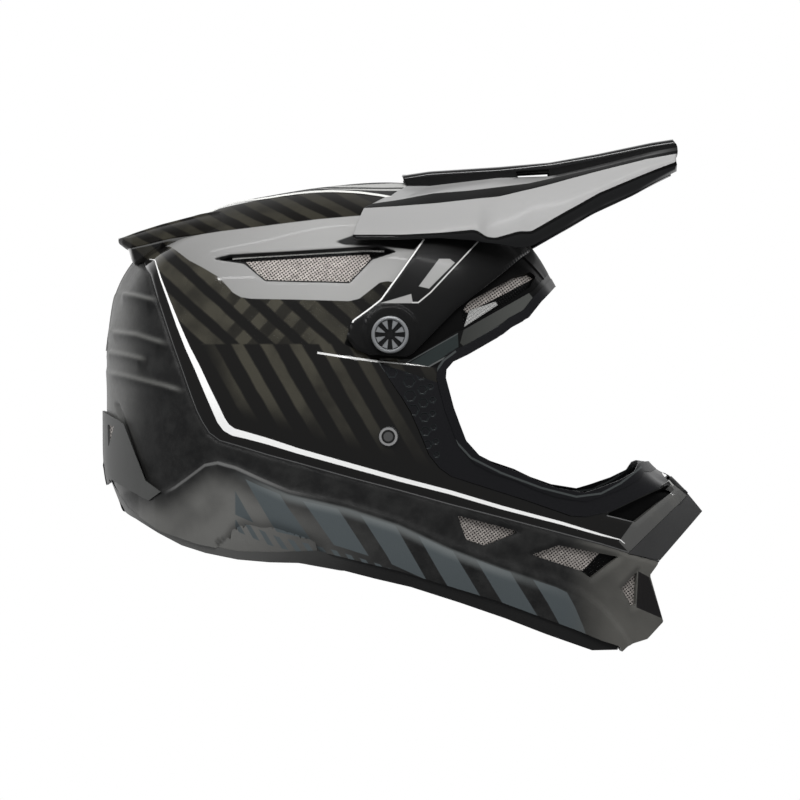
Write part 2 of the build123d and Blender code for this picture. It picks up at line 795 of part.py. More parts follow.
# Chin strap: a rivet and an anchor plate on each side, two webbings, two rings and a snap
plate_outer = rivet_face - shell_wall - plate_gap
webbing_outer = plate_outer - anchor_wall - running_gap
webbing_inner = webbing_outer - webbing_wall
with BuildPart() as strap_rivet:
    add(peg(rivet, rivet_head_radius, -rivet_face - rivet_head_wall, -rivet_face))
    fillet(edges().filter_by(GeomType.CIRCLE).group_by(Axis.Y)[0], rivet_head_wall / 2)
    add(peg(rivet, rivet_radius - running_gap, -rivet_face, -webbing_inner + running_gap))
    add(peg(rivet, rivet_head_radius, -webbing_inner + running_gap, -webbing_inner + rivet_head_wall))
save_pair(strap_rivet.part, "strap_rivet")

with BuildPart() as strap_anchor:
    add(peg(rivet, anchor_radius, -plate_outer, -plate_outer + anchor_wall))
    add(peg(rivet, rivet_radius, -reach, 0), mode=Mode.SUBTRACT)
save_pair(strap_anchor.part, "strap_anchor")

# The webbings run in the plane across the helmet through the rivets
run = strap_low
web_half = webbing_wall / 2
top_y = webbing_inner + web_half
loop_half = ring_spread / 2 + ring_wire + ring_ease + web_half
bar_y = ring_place - ring_wire - ring_ease - web_half
arc_y = ring_place - ring_depth + ring_wire + ring_ease + web_half
hang = [
    (top_y, rivet[1] + anchor_radius),
    (top_y, rivet[1] - anchor_radius),
    (top_y - strap_lean, strap_turn),
    (ring_place + strap_slope, run - loop_half),
]
right_path = [(-y, z) for y, z in hang] + [
    (-bar_y, run - loop_half),
    (-bar_y, run + loop_half),
    (-ring_place - ring_wire, run + loop_half),
    (-ring_place - strap_slope / 2, run - loop_half + webbing_wall + ring_ease),
    (-ring_place - strap_slope + ring_wire, run - loop_half + webbing_wall + ring_ease),
]
left_path = hang[:-1] + [
    (strap_tail, run - loop_half),
    (-arc_y, run - loop_half),
    (-arc_y, run + loop_half),
    (-ring_place + ring_depth + ring_wire, run + loop_half),
    (-strap_fold, run - loop_half + webbing_wall + ring_ease),
    (strap_fold, run - loop_half + webbing_wall + ring_ease),
]
for name, path in (("strap_right", right_path), ("strap_left", left_path)):
    with BuildPart() as webbing:
        with BuildSketch(Plane.YZ.offset(rivet[0] - webbing_width / 2)):
            with BuildLine():
                FilletPolyline(*path, radius=strap_bend)
            trace(line_width=webbing_wall)
        extrude(amount=webbing_width)
        cuts = [peg(rivet, rivet_radius, -reach, reach)]
        with BuildPart(mode=Mode.PRIVATE) as snap_hole:
            with BuildSketch(Plane.XY):
                with Locations((rivet[0], strap_fold - 2 * snap_radius)):
                    Circle(snap_post_radius + running_gap)
            extrude(amount=rivet[1])
        cuts.append(snap_hole.part)
        add(cuts, mode=Mode.SUBTRACT)
    save(webbing.part, name)

for name, low in (("d_ring_lower", -ring_spread / 2 - ring_wire), ("d_ring_upper", ring_spread / 2)):
    with BuildPart() as d_ring:
        with BuildSketch(Plane.XY.offset(run + low)):
            with Locations((rivet[0], ring_depth / 2 - ring_place)):
                Rectangle(2 * ring_half, ring_depth)
                fillet(vertices().group_by(Axis.Y)[-1], ring_round)
                Rectangle(2 * ring_half - 2 * ring_wire, ring_depth - 2 * ring_wire, mode=Mode.SUBTRACT)
        extrude(amount=ring_wire)
    save(d_ring.part, name)

snap_low = run - loop_half - web_half
snap_high = snap_low + 2 * webbing_wall + ring_ease
with BuildPart() as strap_snap:
    with Locations((rivet[0], strap_fold - 2 * snap_radius, 0)):
        with Locations((0, 0, snap_low - snap_wall / 2)):
            Cylinder(snap_radius, snap_wall)
        with Locations((0, 0, snap_high + snap_wall / 2)):
            Cylinder(snap_radius, snap_wall)
        with Locations((0, 0, (snap_low + snap_high) / 2)):
            Cylinder(snap_post_radius, snap_high - snap_low + snap_wall)
save(strap_snap.part, "strap_snap")
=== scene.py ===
import math

import bmesh
import bpy
import numpy as np
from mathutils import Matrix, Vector
from mathutils.bvhtree import BVHTree


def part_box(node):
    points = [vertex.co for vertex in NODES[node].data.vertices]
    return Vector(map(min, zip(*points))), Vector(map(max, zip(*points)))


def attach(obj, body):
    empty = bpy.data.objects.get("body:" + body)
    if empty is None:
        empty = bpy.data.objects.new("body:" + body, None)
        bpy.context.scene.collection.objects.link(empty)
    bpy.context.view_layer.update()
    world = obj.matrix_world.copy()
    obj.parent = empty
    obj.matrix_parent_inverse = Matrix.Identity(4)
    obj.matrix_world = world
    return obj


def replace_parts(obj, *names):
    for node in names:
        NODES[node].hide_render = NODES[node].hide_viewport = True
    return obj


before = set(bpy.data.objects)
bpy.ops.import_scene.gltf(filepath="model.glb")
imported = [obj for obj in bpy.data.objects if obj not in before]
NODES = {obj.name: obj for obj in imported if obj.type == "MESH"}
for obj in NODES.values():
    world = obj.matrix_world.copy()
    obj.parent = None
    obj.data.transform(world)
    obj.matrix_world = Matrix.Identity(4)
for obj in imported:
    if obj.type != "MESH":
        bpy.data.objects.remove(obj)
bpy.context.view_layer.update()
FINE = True

# ---------------------------------------------------------------- side view
LENGTH, WIDTH, HEIGHT = 0.363, 0.246, 0.306
MIDDLE = HEIGHT * 0.488
MM = 0.001
STEP_M = 0.0006
STEPS_LONG, STEPS_HIGH = 605, 510
BACK_PX, FOOT_PX = 98, 649
MIRROR = [1, -1, 1]


def sx(px):
    """X of a place in the side view, counted in 0.6 mm steps from the back"""
    return LENGTH * ((np.asarray(px, float) - BACK_PX) / STEPS_LONG - 0.5)


def sz(py):
    """Z of a place in the side view, counted in 0.6 mm steps down from the top"""
    return HEIGHT * (FOOT_PX - np.asarray(py, float)) / STEPS_HIGH


def side(points):
    """Side view points as X, Z pairs"""
    p = np.array(points, float)
    return np.stack([sx(p[:, 0]), sz(p[:, 1])], 1)


def shares(points):
    """Outline points in thousandths of length and height as X, Z pairs"""
    p = np.array(points, float)
    return np.stack([LENGTH * (p[:, 0] / 1000 - 0.5), HEIGHT * p[:, 1] / 1000], 1)


# The form's sections: place along, then half width and height from crown to lower edge, in thousandths
STATIONS = {
    10: [(0, 586), (49, 582), (73, 573), (89, 547), (106, 498), (98, 439), (73, 386)],
    15: [(0, 645), (81, 637), (138, 618), (179, 582), (220, 498), (211, 414), (163, 355)],
    25: [(0, 700), (122, 690), (211, 665), (285, 616), (341, 498), (325, 380), (268, 324)],
    45: [(0, 747), (171, 737), (301, 708), (423, 649), (488, 498), (455, 359), (374, 282)],
    78: [(0, 790), (220, 782), (398, 761), (561, 684), (642, 498), (602, 341), (520, 229)],
    127: [(0, 824), (268, 818), (488, 796), (699, 684), (797, 498), (764, 351), (667, 184)],
    193: [(0, 865), (317, 859), (561, 816), (797, 686), (911, 498), (894, 363), (789, 151)],
    276: [(0, 889), (350, 881), (602, 827), (854, 680), (976, 492), (963, 333), (854, 131)],
    367: [(0, 908), (374, 896), (626, 839), (870, 678), (1000, 484), (980, 290), (870, 120)],
    466: [(0, 920), (374, 891), (626, 843), (862, 680), (984, 478), (959, 249), (854, 100)],
    549: [(0, 912), (358, 873), (593, 833), (829, 684), (935, 469), (919, 216), (821, 73)],
    623: [(0, 882), (325, 841), (545, 808), (764, 678), (878, 429), (870, 186), (780, 43)],
    681: [(0, 837), (293, 802), (480, 775), (683, 667), (821, 380), (821, 165), (740, 20)],
    731: [(0, 771), (260, 749), (415, 729), (610, 643), (764, 335), (772, 145), (699, -2)],
    788: [(0, 649), (220, 637), (358, 624), (537, 576), (691, 308), (699, 122), (634, -25)],
    846: [(0, 518), (187, 508), (309, 496), (455, 465), (610, 292), (610, 96), (545, -41)],
    904: [(0, 386), (163, 380), (252, 373), (374, 355), (504, 282), (504, 76), (447, -49)],
    954: [(0, 343), (146, 339), (220, 333), (309, 318), (407, 273), (407, 96), (350, -31)],
    1005: [(0, 308), (130, 304), (187, 298), (244, 286), (293, 269), (285, 175), (252, 57)],
}
UNDER_SIDE, UNDER_MIDDLE, UNDER_WIDE = 0.020, 0.026, 0.6
END_CROWDING = 0.06


def spline(t, v, q, slopes=None):
    """The cubic spline through v at t, read at q: free at its ends, or with slopes given there"""
    n, h = len(t), np.diff(t)
    a, b = np.eye(n), np.zeros((n,) + v.shape[1:])
    for i in range(1, n - 1):
        a[i, i - 1 : i + 2] = h[i - 1], 2 * (h[i - 1] + h[i]), h[i]
        b[i] = 6 * ((v[i + 1] - v[i]) / h[i] - (v[i] - v[i - 1]) / h[i - 1])
    if slopes is not None:
        a[0, :2], a[-1, -2:] = (2 * h[0], h[0]), (h[-1], 2 * h[-1])
        b[0] = 6 * ((v[1] - v[0]) / h[0] - slopes[0])
        b[-1] = 6 * (slopes[1] - (v[-1] - v[-2]) / h[-1])
    m = np.linalg.solve(a, b.reshape(n, -1)).reshape(b.shape)
    i = np.clip(np.searchsorted(t, q) - 1, 0, n - 2)
    shape = (-1,) + (1,) * (v.ndim - 1)
    step, u = h[i].reshape(shape), ((t[i + 1] - q) / h[i]).reshape(shape)
    w = 1 - u
    return u * v[i] + w * v[i + 1] + ((u**3 - u) * m[i] + (w**3 - w) * m[i + 1]) * step * step / 6


def ring_turns():
    """How far round each corner of a section lies, the same in every section"""
    widest = np.array(STATIONS[367], float) * [WIDTH / 2000, HEIGHT / 1000]
    spans = np.linalg.norm(np.diff(widest, axis=0), axis=1)
    under = widest[-1, 0] / 2
    return np.concatenate([[0], np.cumsum([*spans, under, under])])


def form_sheet(nx, nv):
    """The left half of the shell's form as a grid from back to front and from crown to edge"""
    places = np.array(list(STATIONS), float)
    corners = np.array(list(STATIONS.values()), float) / 1000 * [WIDTH / 2, HEIGHT]
    spread = np.linspace(0, 1, nx)
    first, last = places[0], places[-1]
    q = first + (last - first) * (spread - END_CROWDING * np.sin(2 * math.pi * spread))
    q[0], q[-1] = first, last
    turns = ring_turns()
    level_ends = np.array([[1.0, 0.0], [-1.0, 0.0]])
    grid = np.zeros((nx, nv, 3))
    for k, half in enumerate(spline(places, corners, q)):
        edge_y, edge_z = half[-1]
        under = [(edge_y * UNDER_WIDE, edge_z - HEIGHT * UNDER_SIDE), (0, edge_z - HEIGHT * UNDER_MIDDLE)]
        grid[k, :, 1:] = spline(turns, np.vstack([half, under]), np.linspace(0, turns[6], nv), level_ends)
        grid[k, :, 0] = LENGTH * (q[k] / 1000 - 0.5)
    return grid


def grid_normals(g):
    """Outward normals of a half grid"""
    du = np.gradient(g, axis=0)
    dv = np.gradient(g, axis=1)
    n = np.cross(dv, du)
    n /= np.linalg.norm(n, axis=2, keepdims=True) + 1e-12
    flip = np.sign((n * (g - [0, 0, MIDDLE])).sum(2, keepdims=True))
    return n * np.where(flip == 0, 1, flip)


# ---------------------------------------------------------------- fields in the side view
def seg_dist(points, x, z, closed):
    """Distance to a polyline, and the share along it of the nearest point"""
    p = np.asarray(points, float)
    if closed:
        p = np.vstack([p, p[:1]])
    best = np.full(x.shape, 1e9)
    where = np.zeros(x.shape)
    run = np.concatenate([[0], np.cumsum(np.linalg.norm(np.diff(p, axis=0), axis=1))])
    for i in range(len(p) - 1):
        ax, az = p[i]
        bx, bz = p[i + 1] - p[i]
        ll = bx * bx + bz * bz + 1e-18
        t = np.clip(((x - ax) * bx + (z - az) * bz) / ll, 0, 1)
        d = np.hypot(x - ax - t * bx, z - az - t * bz)
        near = d < best
        best = np.where(near, d, best)
        where = np.where(near, run[i] + t * math.sqrt(ll), where)
    return best, where / run[-1]


def inside(points, x, z):
    """True inside a closed outline"""
    p = np.asarray(points, float)
    hit = np.zeros(x.shape, bool)
    for (ax, az), (bx, bz) in zip(p, np.roll(p, -1, axis=0)):
        if az == bz:
            continue
        cross = ((az > z) != (bz > z)) & (x < (bx - ax) * (z - az) / (bz - az) + ax)
        hit ^= cross
    return hit


def zone(points, x, z):
    """Signed distance to a closed outline, positive inside"""
    d, _ = seg_dist(points, x, z, True)
    return np.where(inside(points, x, z), d, -d)


def soft(d, width):
    """0 to 1 as d goes from minus width to plus width"""
    t = np.clip(d / (2 * width) + 0.5, 0, 1)
    return t * t * (3 - 2 * t)


# ---------------------------------------------------------------- triangles
def grid_tris(nx, nv, flip=False):
    """Two triangles for each cell of a grid"""
    k = np.arange(nx * nv).reshape(nx, nv)
    a, b, c, d = k[:-1, :-1].ravel(), k[1:, :-1].ravel(), k[1:, 1:].ravel(), k[:-1, 1:].ravel()
    t = np.concatenate([np.stack([a, b, c], 1), np.stack([a, c, d], 1)])
    return t[:, ::-1] if flip else t


def clip(verts, data, tris, field):
    """Keeps the part of a triangle sheet where field is positive, cut along its zero line"""
    pos = field > 0
    count = pos[tris].sum(1)
    out = [tris[count == 3]]
    new_v, new_d = [verts], {k: [v] for k, v in data.items()}
    base = len(verts)
    for need in (1, 2):
        part = tris[count == need]
        if not len(part):
            continue
        s = pos[part]
        odd = np.argmax(s if need == 1 else ~s, axis=1)
        r = np.arange(len(part))
        a, b, c = part[r, odd], part[r, (odd + 1) % 3], part[r, (odd + 2) % 3]
        ids = []
        for p, q in ((a, b), (a, c)):
            w = field[p] / (field[p] - field[q])
            new_v.append(verts[p] * (1 - w)[:, None] + verts[q] * w[:, None])
            for k, v in data.items():
                ww = w.reshape((-1,) + (1,) * (v.ndim - 1))
                new_d[k].append(v[p] * (1 - ww) + v[q] * ww)
            ids.append(np.arange(base, base + len(p)))
            base += len(p)
        ab, ac = ids
        if need == 1:
            out.append(np.stack([a, ab, ac], 1))
        else:
            out.append(np.stack([ab, b, c], 1))
            out.append(np.stack([ab, c, ac], 1))
    verts = np.vstack(new_v)
    data = {k: np.concatenate(v) for k, v in new_d.items()}
    tris = np.vstack(out)
    return tidy(verts, data, tris)


def tidy(verts, data, tris):
    """Joins equal corners and leaves out unused ones and empty triangles"""
    key = np.round(verts * 2e6).astype(np.int64)
    _, first, back = np.unique(key, axis=0, return_index=True, return_inverse=True)
    back = back.ravel()
    tris = back[tris]
    verts = verts[first]
    data = {k: v[first] for k, v in data.items()}
    good = (tris[:, 0] != tris[:, 1]) & (tris[:, 1] != tris[:, 2]) & (tris[:, 0] != tris[:, 2])
    tris = tris[good]
    used = np.unique(tris)
    table = np.full(len(verts), -1)
    table[used] = np.arange(len(used))
    return verts[used], {k: v[used] for k, v in data.items()}, table[tris]


def rim(verts, tris):
    """The open edges of a sheet, each as a pair of corners in the sheet's own turn"""
    e = np.vstack([tris[:, [0, 1]], tris[:, [1, 2]], tris[:, [2, 0]]])
    low, high = e.min(1).astype(np.int64), e.max(1).astype(np.int64)
    key = low * (len(verts) + 1) + high
    _, first, counts = np.unique(key, return_index=True, return_counts=True)
    return e[first[counts == 1]]


def mirrored(verts, data, tris):
    """A half and its mirror image as one sheet"""
    n = len(verts)
    both = np.vstack([verts, verts * MIRROR])
    flipped = {}
    for k, v in data.items():
        w = v * MIRROR if v.ndim == 2 else v
        flipped[k] = np.concatenate([v, w])
    return tidy(both, flipped, np.vstack([tris, tris[:, ::-1] + n]))


def piece(name, verts, faces, material, body="helmet", slot=None, data=None, smooth=True):
    """A mesh piece that rides on a body"""
    mesh = bpy.data.meshes.new(name)
    faces = faces.tolist() if isinstance(faces, np.ndarray) else faces
    mesh.from_pydata(np.asarray(verts).tolist(), [], faces)
    mesh.update()
    mesh.validate()
    for k, v in (data or {}).items():
        if v.ndim == 1 and len(v) == len(mesh.vertices):
            mesh.attributes.new(k, "FLOAT", "POINT").data.foreach_set("value", v.astype(np.float32))
    if smooth:
        mesh.polygons.foreach_set("use_smooth", np.ones(len(mesh.polygons), bool))
    obj = bpy.data.objects.new(name, mesh)
    bpy.context.scene.collection.objects.link(obj)
    if material:
        mesh.materials.append(material)
    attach(obj, body)
    return obj


def settled(obj):
    """Replaces a piece's mesh by what its modifiers make of it"""
    mesh = bpy.data.meshes.new_from_object(obj.evaluated_get(bpy.context.evaluated_depsgraph_get()))
    obj.modifiers.clear()
    obj.data = mesh
    return mesh


# ---------------------------------------------------------------- lines of the shell in the side view
CREASE_TOP = [(112, 238), (160, 222), (200, 210.5), (250, 200), (284, 194), (320, 192), (358, 191.5),
              (380, 195), (400, 199.5), (450, 212)]
CREASE_LOW = [(112, 249), (130, 247.5), (150, 243.5), (170, 239), (200, 235), (220, 232), (250, 228.5),
              (290, 223.5), (320, 220), (360, 216.5), (420, 212)]
# Outline of the facet that carries a painted reflection of the lights
FACET = CREASE_LOW[1:] + [(424, 240), (400, 275), (394, 284), (388, 282.5), (380, 284), (370, 292),
                          (360, 300), (350, 302.5), (300, 301), (253, 300), (243, 298.5), (235, 294),
                          (228, 286), (220, 278), (205, 269), (190, 261), (177, 251), (170, 246.5),
                          (150, 246), (131, 249)]
# Where the shell lies in shade under the visor's lip: painted shade, near black
LIP_SHADE = [(335, 243), (352, 237), (362, 230), (440, 220), (440, 240), (422, 243), (414, 251.5),
               (390, 248.8), (372, 247.5), (345, 246.5)]
# Lines of the crown: its edge, and the two strips on its flank that carry a painted reflection of the lights
CROWN_LINES = {
    "edge": CREASE_TOP,
    "light_in": [(300, 188.8), (340, 185), (380, 182.4), (409, 181.6)],
    "light_out": [(300, 189), (330, 187.4), (412, 187)],
    "thin_in": [(316, 190.2), (360, 188.8), (411, 188.4)],
    "thin_out": [(316, 190.4), (340, 190.6), (411, 190.8)],
}
MESH_SIDE = [(247, 263), (306, 259.6), (369, 255.6), (371.6, 260.4), (351.7, 284.4), (266, 282.6)]
MESH_BROW = [(462.5, 310.5), (468, 303), (510, 279), (534, 272.5), (535.5, 277.5), (500, 296.5), (466, 314)]
MESH_JAW = [(528, 553), (560, 543), (598, 552.5), (581.5, 569.5), (560, 566)]
# Where the shell lies in shade under the visor arm: painted shade, near black
ARM_SHADE = [(423, 243), (432, 228), (545, 228), (545, 305), (470, 352), (411, 360), (372, 358), (345, 345),
        (354, 323.5), (380, 303)]
# Where a painted highlight runs along the side vent's slot
SLOT_LINE = [(234, 259.8), (246, 258.8), (316, 254.8), (366, 252.2), (384, 252.6)]
STRIPE = [(155, 260), (162, 280), (170, 300), (180, 325), (190, 348), (200, 368), (210, 390), (218, 407),
          (224, 420), (229, 427), (236, 431.5), (250, 435), (270, 440.5), (300, 450), (350, 464), (400, 478),
          (450, 491), (500, 506), (560, 522), (600, 534), (619, 539)]
STRIPE_WIDE = [0.8, 1.6, 2.2, 3.6, 4.8, 6, 7, 8, 8.4, 8, 7.2, 6.6, 6, 5.2, 4.8, 4.4, 4, 3.6, 3, 2, 0.8]
STEP = [(118, 243), (130, 251), (140, 260), (150, 275), (158, 300), (166, 323), (175, 348), (184, 372),
        (193, 397), (198, 410), (204, 422), (211, 433), (222, 441), (240, 446), (270, 455), (300, 463),
        (350, 477), (400, 490), (450, 504), (500, 517), (560, 533), (600, 544), (628, 553), (700, 574)]
RIDGE = [(118, 500), (135, 492), (150, 489.5), (168, 491), (179, 485), (190, 477), (209, 462.5), (222, 460),
         (240, 465), (266, 477), (292, 488), (350, 501), (400, 517), (450, 540), (500, 559), (555, 578),
         (580, 590), (600, 606), (620, 630), (640, 660)]
REAR_GROOVE = [(118, 405), (125, 424), (138, 460), (147, 484), (152, 492)]
RIBS = [[(106, 331), (140, 336), (171, 346)], [(102, 371), (130, 377), (150, 382), (170, 387), (188, 393)],
        [(120, 294), (138, 297), (158, 302)], [(104, 351), (130, 356), (150, 361)]]
FRONT_CREASE = [(319, 354), (345, 358), (378, 362.5), (404, 364.5), (430, 366.8)]
VENTS = {
    "side_vent": [(217, 259.5), (232, 256), (302, 252.4), (342, 250), (379, 247.5), (395, 252.5), (372, 260),
                  (350, 283.5), (267, 281.5), (246, 264)],
    "brow_vent": [(461, 310), (470, 301), (516, 276), (530, 272), (536, 276), (530, 287), (505, 304),
                  (463, 329)],
    "cheek_vent": [(457, 514), (519, 530), (484, 544), (465, 538)],
    "jaw_vent": [(530, 553), (558, 544), (618, 556), (590, 577), (580, 570)],
    "front_vent": [(621, 588), (637, 571), (636, 604), (631, 606)],
}
SLOT = [(605, 514), (672, 484), (676, 490), (635, 522)]
SLOT_WIDE = [(598, 513), (640, 492), (674, 478), (684, 492), (640, 526)]
# Where painted light lies on the chin beside the slot, and where a broad painted highlight runs along its edge
CHIN_LIGHT = [(633, 521), (674, 484), (690, 497), (629, 553), (618, 541)]
CHIN_EDGE = [(540, 497), (575, 506), (600, 503), (625, 493), (655, 479), (668, 473)]
BROW_PLATE = [(468.5, 311.5), (494.6, 302.4), (497, 305.6), (463.2, 328)]
TRIM_EDGE = [(455, 352), (443, 361), (436, 371), (431, 381), (437, 400), (444, 425), (457, 443), (470, 457),
             (500, 472), (540, 487), (575, 496), (600, 493), (620, 483), (642, 467)]
# Dimples beside the face: place along, place down and radius
DIMPLES = [(409, 369, 5.2), (409, 382, 5.2), (410, 396, 5.2), (413, 410, 5.2), (392, 373, 4.8),
           (421, 376, 4.2), (422, 390, 4.2), (423, 403, 4.2), (424, 417, 4.2), (425, 431, 4.2),
           (427, 444, 4.0), (430, 372, 2.8), (430, 387, 2.8), (432, 400, 2.8), (432, 413.5, 2.8),
           (433, 427, 2.8), (435, 441, 2.8), (436, 454, 2.6)]


def level_of(line, x):
    """Height of a line that runs from back to front, at places along it"""
    return np.interp(x, *side(line).T)


def signed_below(line, x, z):
    """How far a place lies below a line that runs from back to front, and its share along it"""
    d, share = seg_dist(side(line), x, z, False)
    return np.where(z < level_of(line, x), d, -d), share


def rib_ends(share):
    """Each rib starts low at the back and fades out in front"""
    return np.clip(share * 6, 0.25, 1) * np.clip((1 - share) * 8, 0, 1)


def bell(d, wide):
    """A soft bump along the zero line of a field"""
    return np.exp(-((d / wide) ** 2))


BEHIND_BELOW = [(720, 720), (60, 720), (60, 243)]
CROWN_START, CROWN_END = 312, 411
RIDGE_START, RIDGE_FADE = 140, 0.012
CREASE_PAST, CREASE_FADE, CREASE_DEEP = 0.010, 0.02, 0.0011
RIB_HIGH, RIB_ABOVE, RIB_BELOW = 0.0022, 0.0016, 0.0065
# Steps and hollows of the skin: field, side, offset, height and softness in metres
STEPS = [("d_top", -1, 0, 0.0007, 0.0009), ("d_lower", 1, -0.001, 0.0008, 0.0012),
         ("d_groove", 1, 0, -0.0016, 0.0012), ("d_vent", 1, 0.0003, -0.0014, 0.0008)]
# Rolled edges: field, height and half width in metres
EDGES = [("d_top", 0.0005, 0.0012), ("d_lower", -0.0007, 0.0009)]
# Hollows round the openings in the chin bar: outline, offset, depth and softness
HOLLOWS = [(VENTS[k], 0.0012, 0.0016, 0.0018) for k in ("cheek_vent", "jaw_vent", "front_vent")]
HOLLOWS.append((SLOT, 0.001, 0.0010, 0.0015))


def shell_fields(x, z, y):
    """The shell's paint and relief fields at places of the side view"""
    p = side(STRIPE)
    d, share = seg_dist(p, x, z, False)
    run = np.concatenate([[0], np.cumsum(np.linalg.norm(np.diff(p, axis=0), axis=1))])
    half = np.interp(share, run / run[-1], np.array(STRIPE_WIDE) * STEP_M / 2)
    f = {
        "d_band": zone(side(CREASE_TOP + CREASE_LOW[::-1]), x, z),
        "d_facet": zone(side(FACET), x, z),
        "d_black": zone(side(LIP_SHADE), x, z),
        "d_stripe": half - d,
        "w_stripe": half,
        "s_stripe": zone(side(STRIPE + [(720, 620), *BEHIND_BELOW]), x, z),
        "d_lower": zone(side(STEP + BEHIND_BELOW), x, z),
        "d_ridge": signed_below(RIDGE, x, z)[0],
        "d_groove": 2 * STEP_M - seg_dist(side(REAR_GROOVE), x, z, False)[0],
        "d_crease": seg_dist(side(FRONT_CREASE), x, z, False)[0],
        "d_top": beyond("edge", x, y),
        "d_vent": zone(side(VENTS["side_vent"]), x, z),
        "d_dark": zone(side(ARM_SHADE), x, z),
        "rib_light": np.zeros(x.shape),
        "rib_shade": np.zeros(x.shape),
    }
    # painted highlight just above each rib and painted shade below it
    for line in RIBS:
        d, share = signed_below(line, x, z)
        light, shade = bell(d + 0.0006, 0.0014), np.clip(d / 0.0015, 0, 1) * bell(d, 0.0050)
        f["rib_light"] = np.maximum(f["rib_light"], light * rib_ends(share))
        f["rib_shade"] = np.maximum(f["rib_shade"], shade * rib_ends(share))
    # two strips on the crown's flank where a painted reflection of the lights goes
    strips = [np.minimum(beyond(f"{k}_in", x, y), -beyond(f"{k}_out", x, y)) for k in ("light", "thin")]
    f["d_crown"] = np.minimum(np.maximum(*strips), np.minimum(x - sx(CROWN_START), sx(CROWN_END) - x))
    return f


def shell_relief(x, z, f):
    """How far the skin stands out from the form, in metres"""
    ridge = 0.0022 * soft(f["d_ridge"], 0.0024) - 0.0012 * soft(f["d_ridge"] - 0.016, 0.014)
    h = ridge * np.clip((x - sx(RIDGE_START)) / RIDGE_FADE, 0, 1)
    h += sum(high * soft(turn * f[k] + offset, ease) for k, turn, offset, high, ease in STEPS)
    h += sum(high * bell(f[k], wide) for k, high, wide in EDGES)
    h -= sum(deep * soft(zone(side(k), x, z) + offset, ease) for k, offset, deep, ease in HOLLOWS)
    for line in RIBS:
        d, share = signed_below(line, x, z)
        h += RIB_HIGH * bell(d, np.where(d < 0, RIB_ABOVE, RIB_BELOW)) * rib_ends(share)
    start, end = sx(FRONT_CREASE[0][0]), sx(FRONT_CREASE[-1][0]) + CREASE_PAST
    below = (x > start) & (x < end) & (z < level_of(FRONT_CREASE, x))
    fall = CREASE_DEEP * np.exp(-f["d_crease"] / CREASE_PAST) * np.clip((x - start) / CREASE_FADE, 0, 1)
    return h + np.where(below, fall, 0)


# ---------------------------------------------------------------- outlines shared with the solids
FRONT_CUT = shares([(914, 365), (949, 339), (979, 302), (1002, 269), (929, 173), (911, 145), (934, 53),
                    (907, 20), (871, 8), (858, -6), (858, -139), (1160, -139), (1160, 410), (995, 410)])
BASE_LINE = shares([(-30, 351), (15, 331), (50, 275), (109, 234), (172, 210), (235, 196), (299, 195),
                    (365, 198), (388, 192), (499, 159), (658, 100), (711, 76), (785, 42), (828, 20), (858, 8),
                    (912, -139), (499, -218), (-30, -218)])
EYEPORT = shares([(760, 714), (732, 680), (711, 649), (686, 633), (668, 616), (618, 582), (588, 565),
                  (575, 547), (574, 531), (587, 473), (597, 441), (607, 410), (631, 378), (656, 363),
                  (696, 347), (724, 331), (760, 316), (803, 308), (825, 316), (860, 331), (886, 347),
                  (894, 363), (901, 367), (914, 365), (1094, 429), (1094, 714)])
EYE_PANEL = shares([(463, 561), (502, 494), (517, 465), (536, 414), (547, 382), (564, 357), (583, 341),
                    (638, 320), (701, 296), (780, 263), (805, 261), (845, 271), (944, 325), (960, 345),
                    (914, 380)])
BROW = shares([(509, 561), (590, 620), (603, 624), (719, 702), (750, 745), (780, 714), (732, 660), (686, 613),
               (618, 562), (588, 545), (544, 551)])
GUARD = shares([(974, 298), (982, 314), (1036, 269), (937, 170), (929, 173), (874, 188)])
VENT_CUTS = {
    "side_vent": [(198, 764), (223, 771), (337, 778), (403, 782), (464, 788), (491, 778), (453, 764),
                  (417, 717), (279, 721), (245, 755)],
    "brow_vent": [(600, 665), (615, 682), (691, 731), (714, 739), (724, 731), (714, 710), (673, 676),
                  (603, 627)],
    "cheek_vent": [(593, 265), (696, 233), (638, 206), (607, 218)],
    "jaw_vent": [(714, 188), (760, 206), (860, 182), (813, 141), (797, 155)],
    "front_vent": [(864, 120), (891, 153), (889, 88), (881, 84)],
    "slot": [(838, 265), (949, 324), (955, 312), (888, 249)],
}
VENT_CUTS = {k: shares(v) for k, v in VENT_CUTS.items()}
VENT_INNER = 0.16 * WIDTH
PIVOT = shares([(483, 614)])[0]
RIVET = shares([(481, 418)])[0]

NX, NV = (330, 250) if FINE else (200, 150)
grid = form_sheet(NX, NV)
normals = grid_normals(grid)
REACH, LEAST_TURN, LARGEST_STEP = 0.003, 0.8, 0.0016
SKIN_WALL = 0.0032


def tree_of(node):
    """A search tree and the arrays of a CAD node"""
    mesh = NODES[node].data
    mesh.calc_loop_triangles()
    v = np.zeros(len(mesh.vertices) * 3, np.float32)
    mesh.vertices.foreach_get("co", v)
    t = np.zeros(len(mesh.loop_triangles) * 3, np.int32)
    mesh.loop_triangles.foreach_get("vertices", t)
    v, t = v.reshape(-1, 3).astype(float), t.reshape(-1, 3)
    return BVHTree.FromPolygons(v.tolist(), t.tolist()), v, t


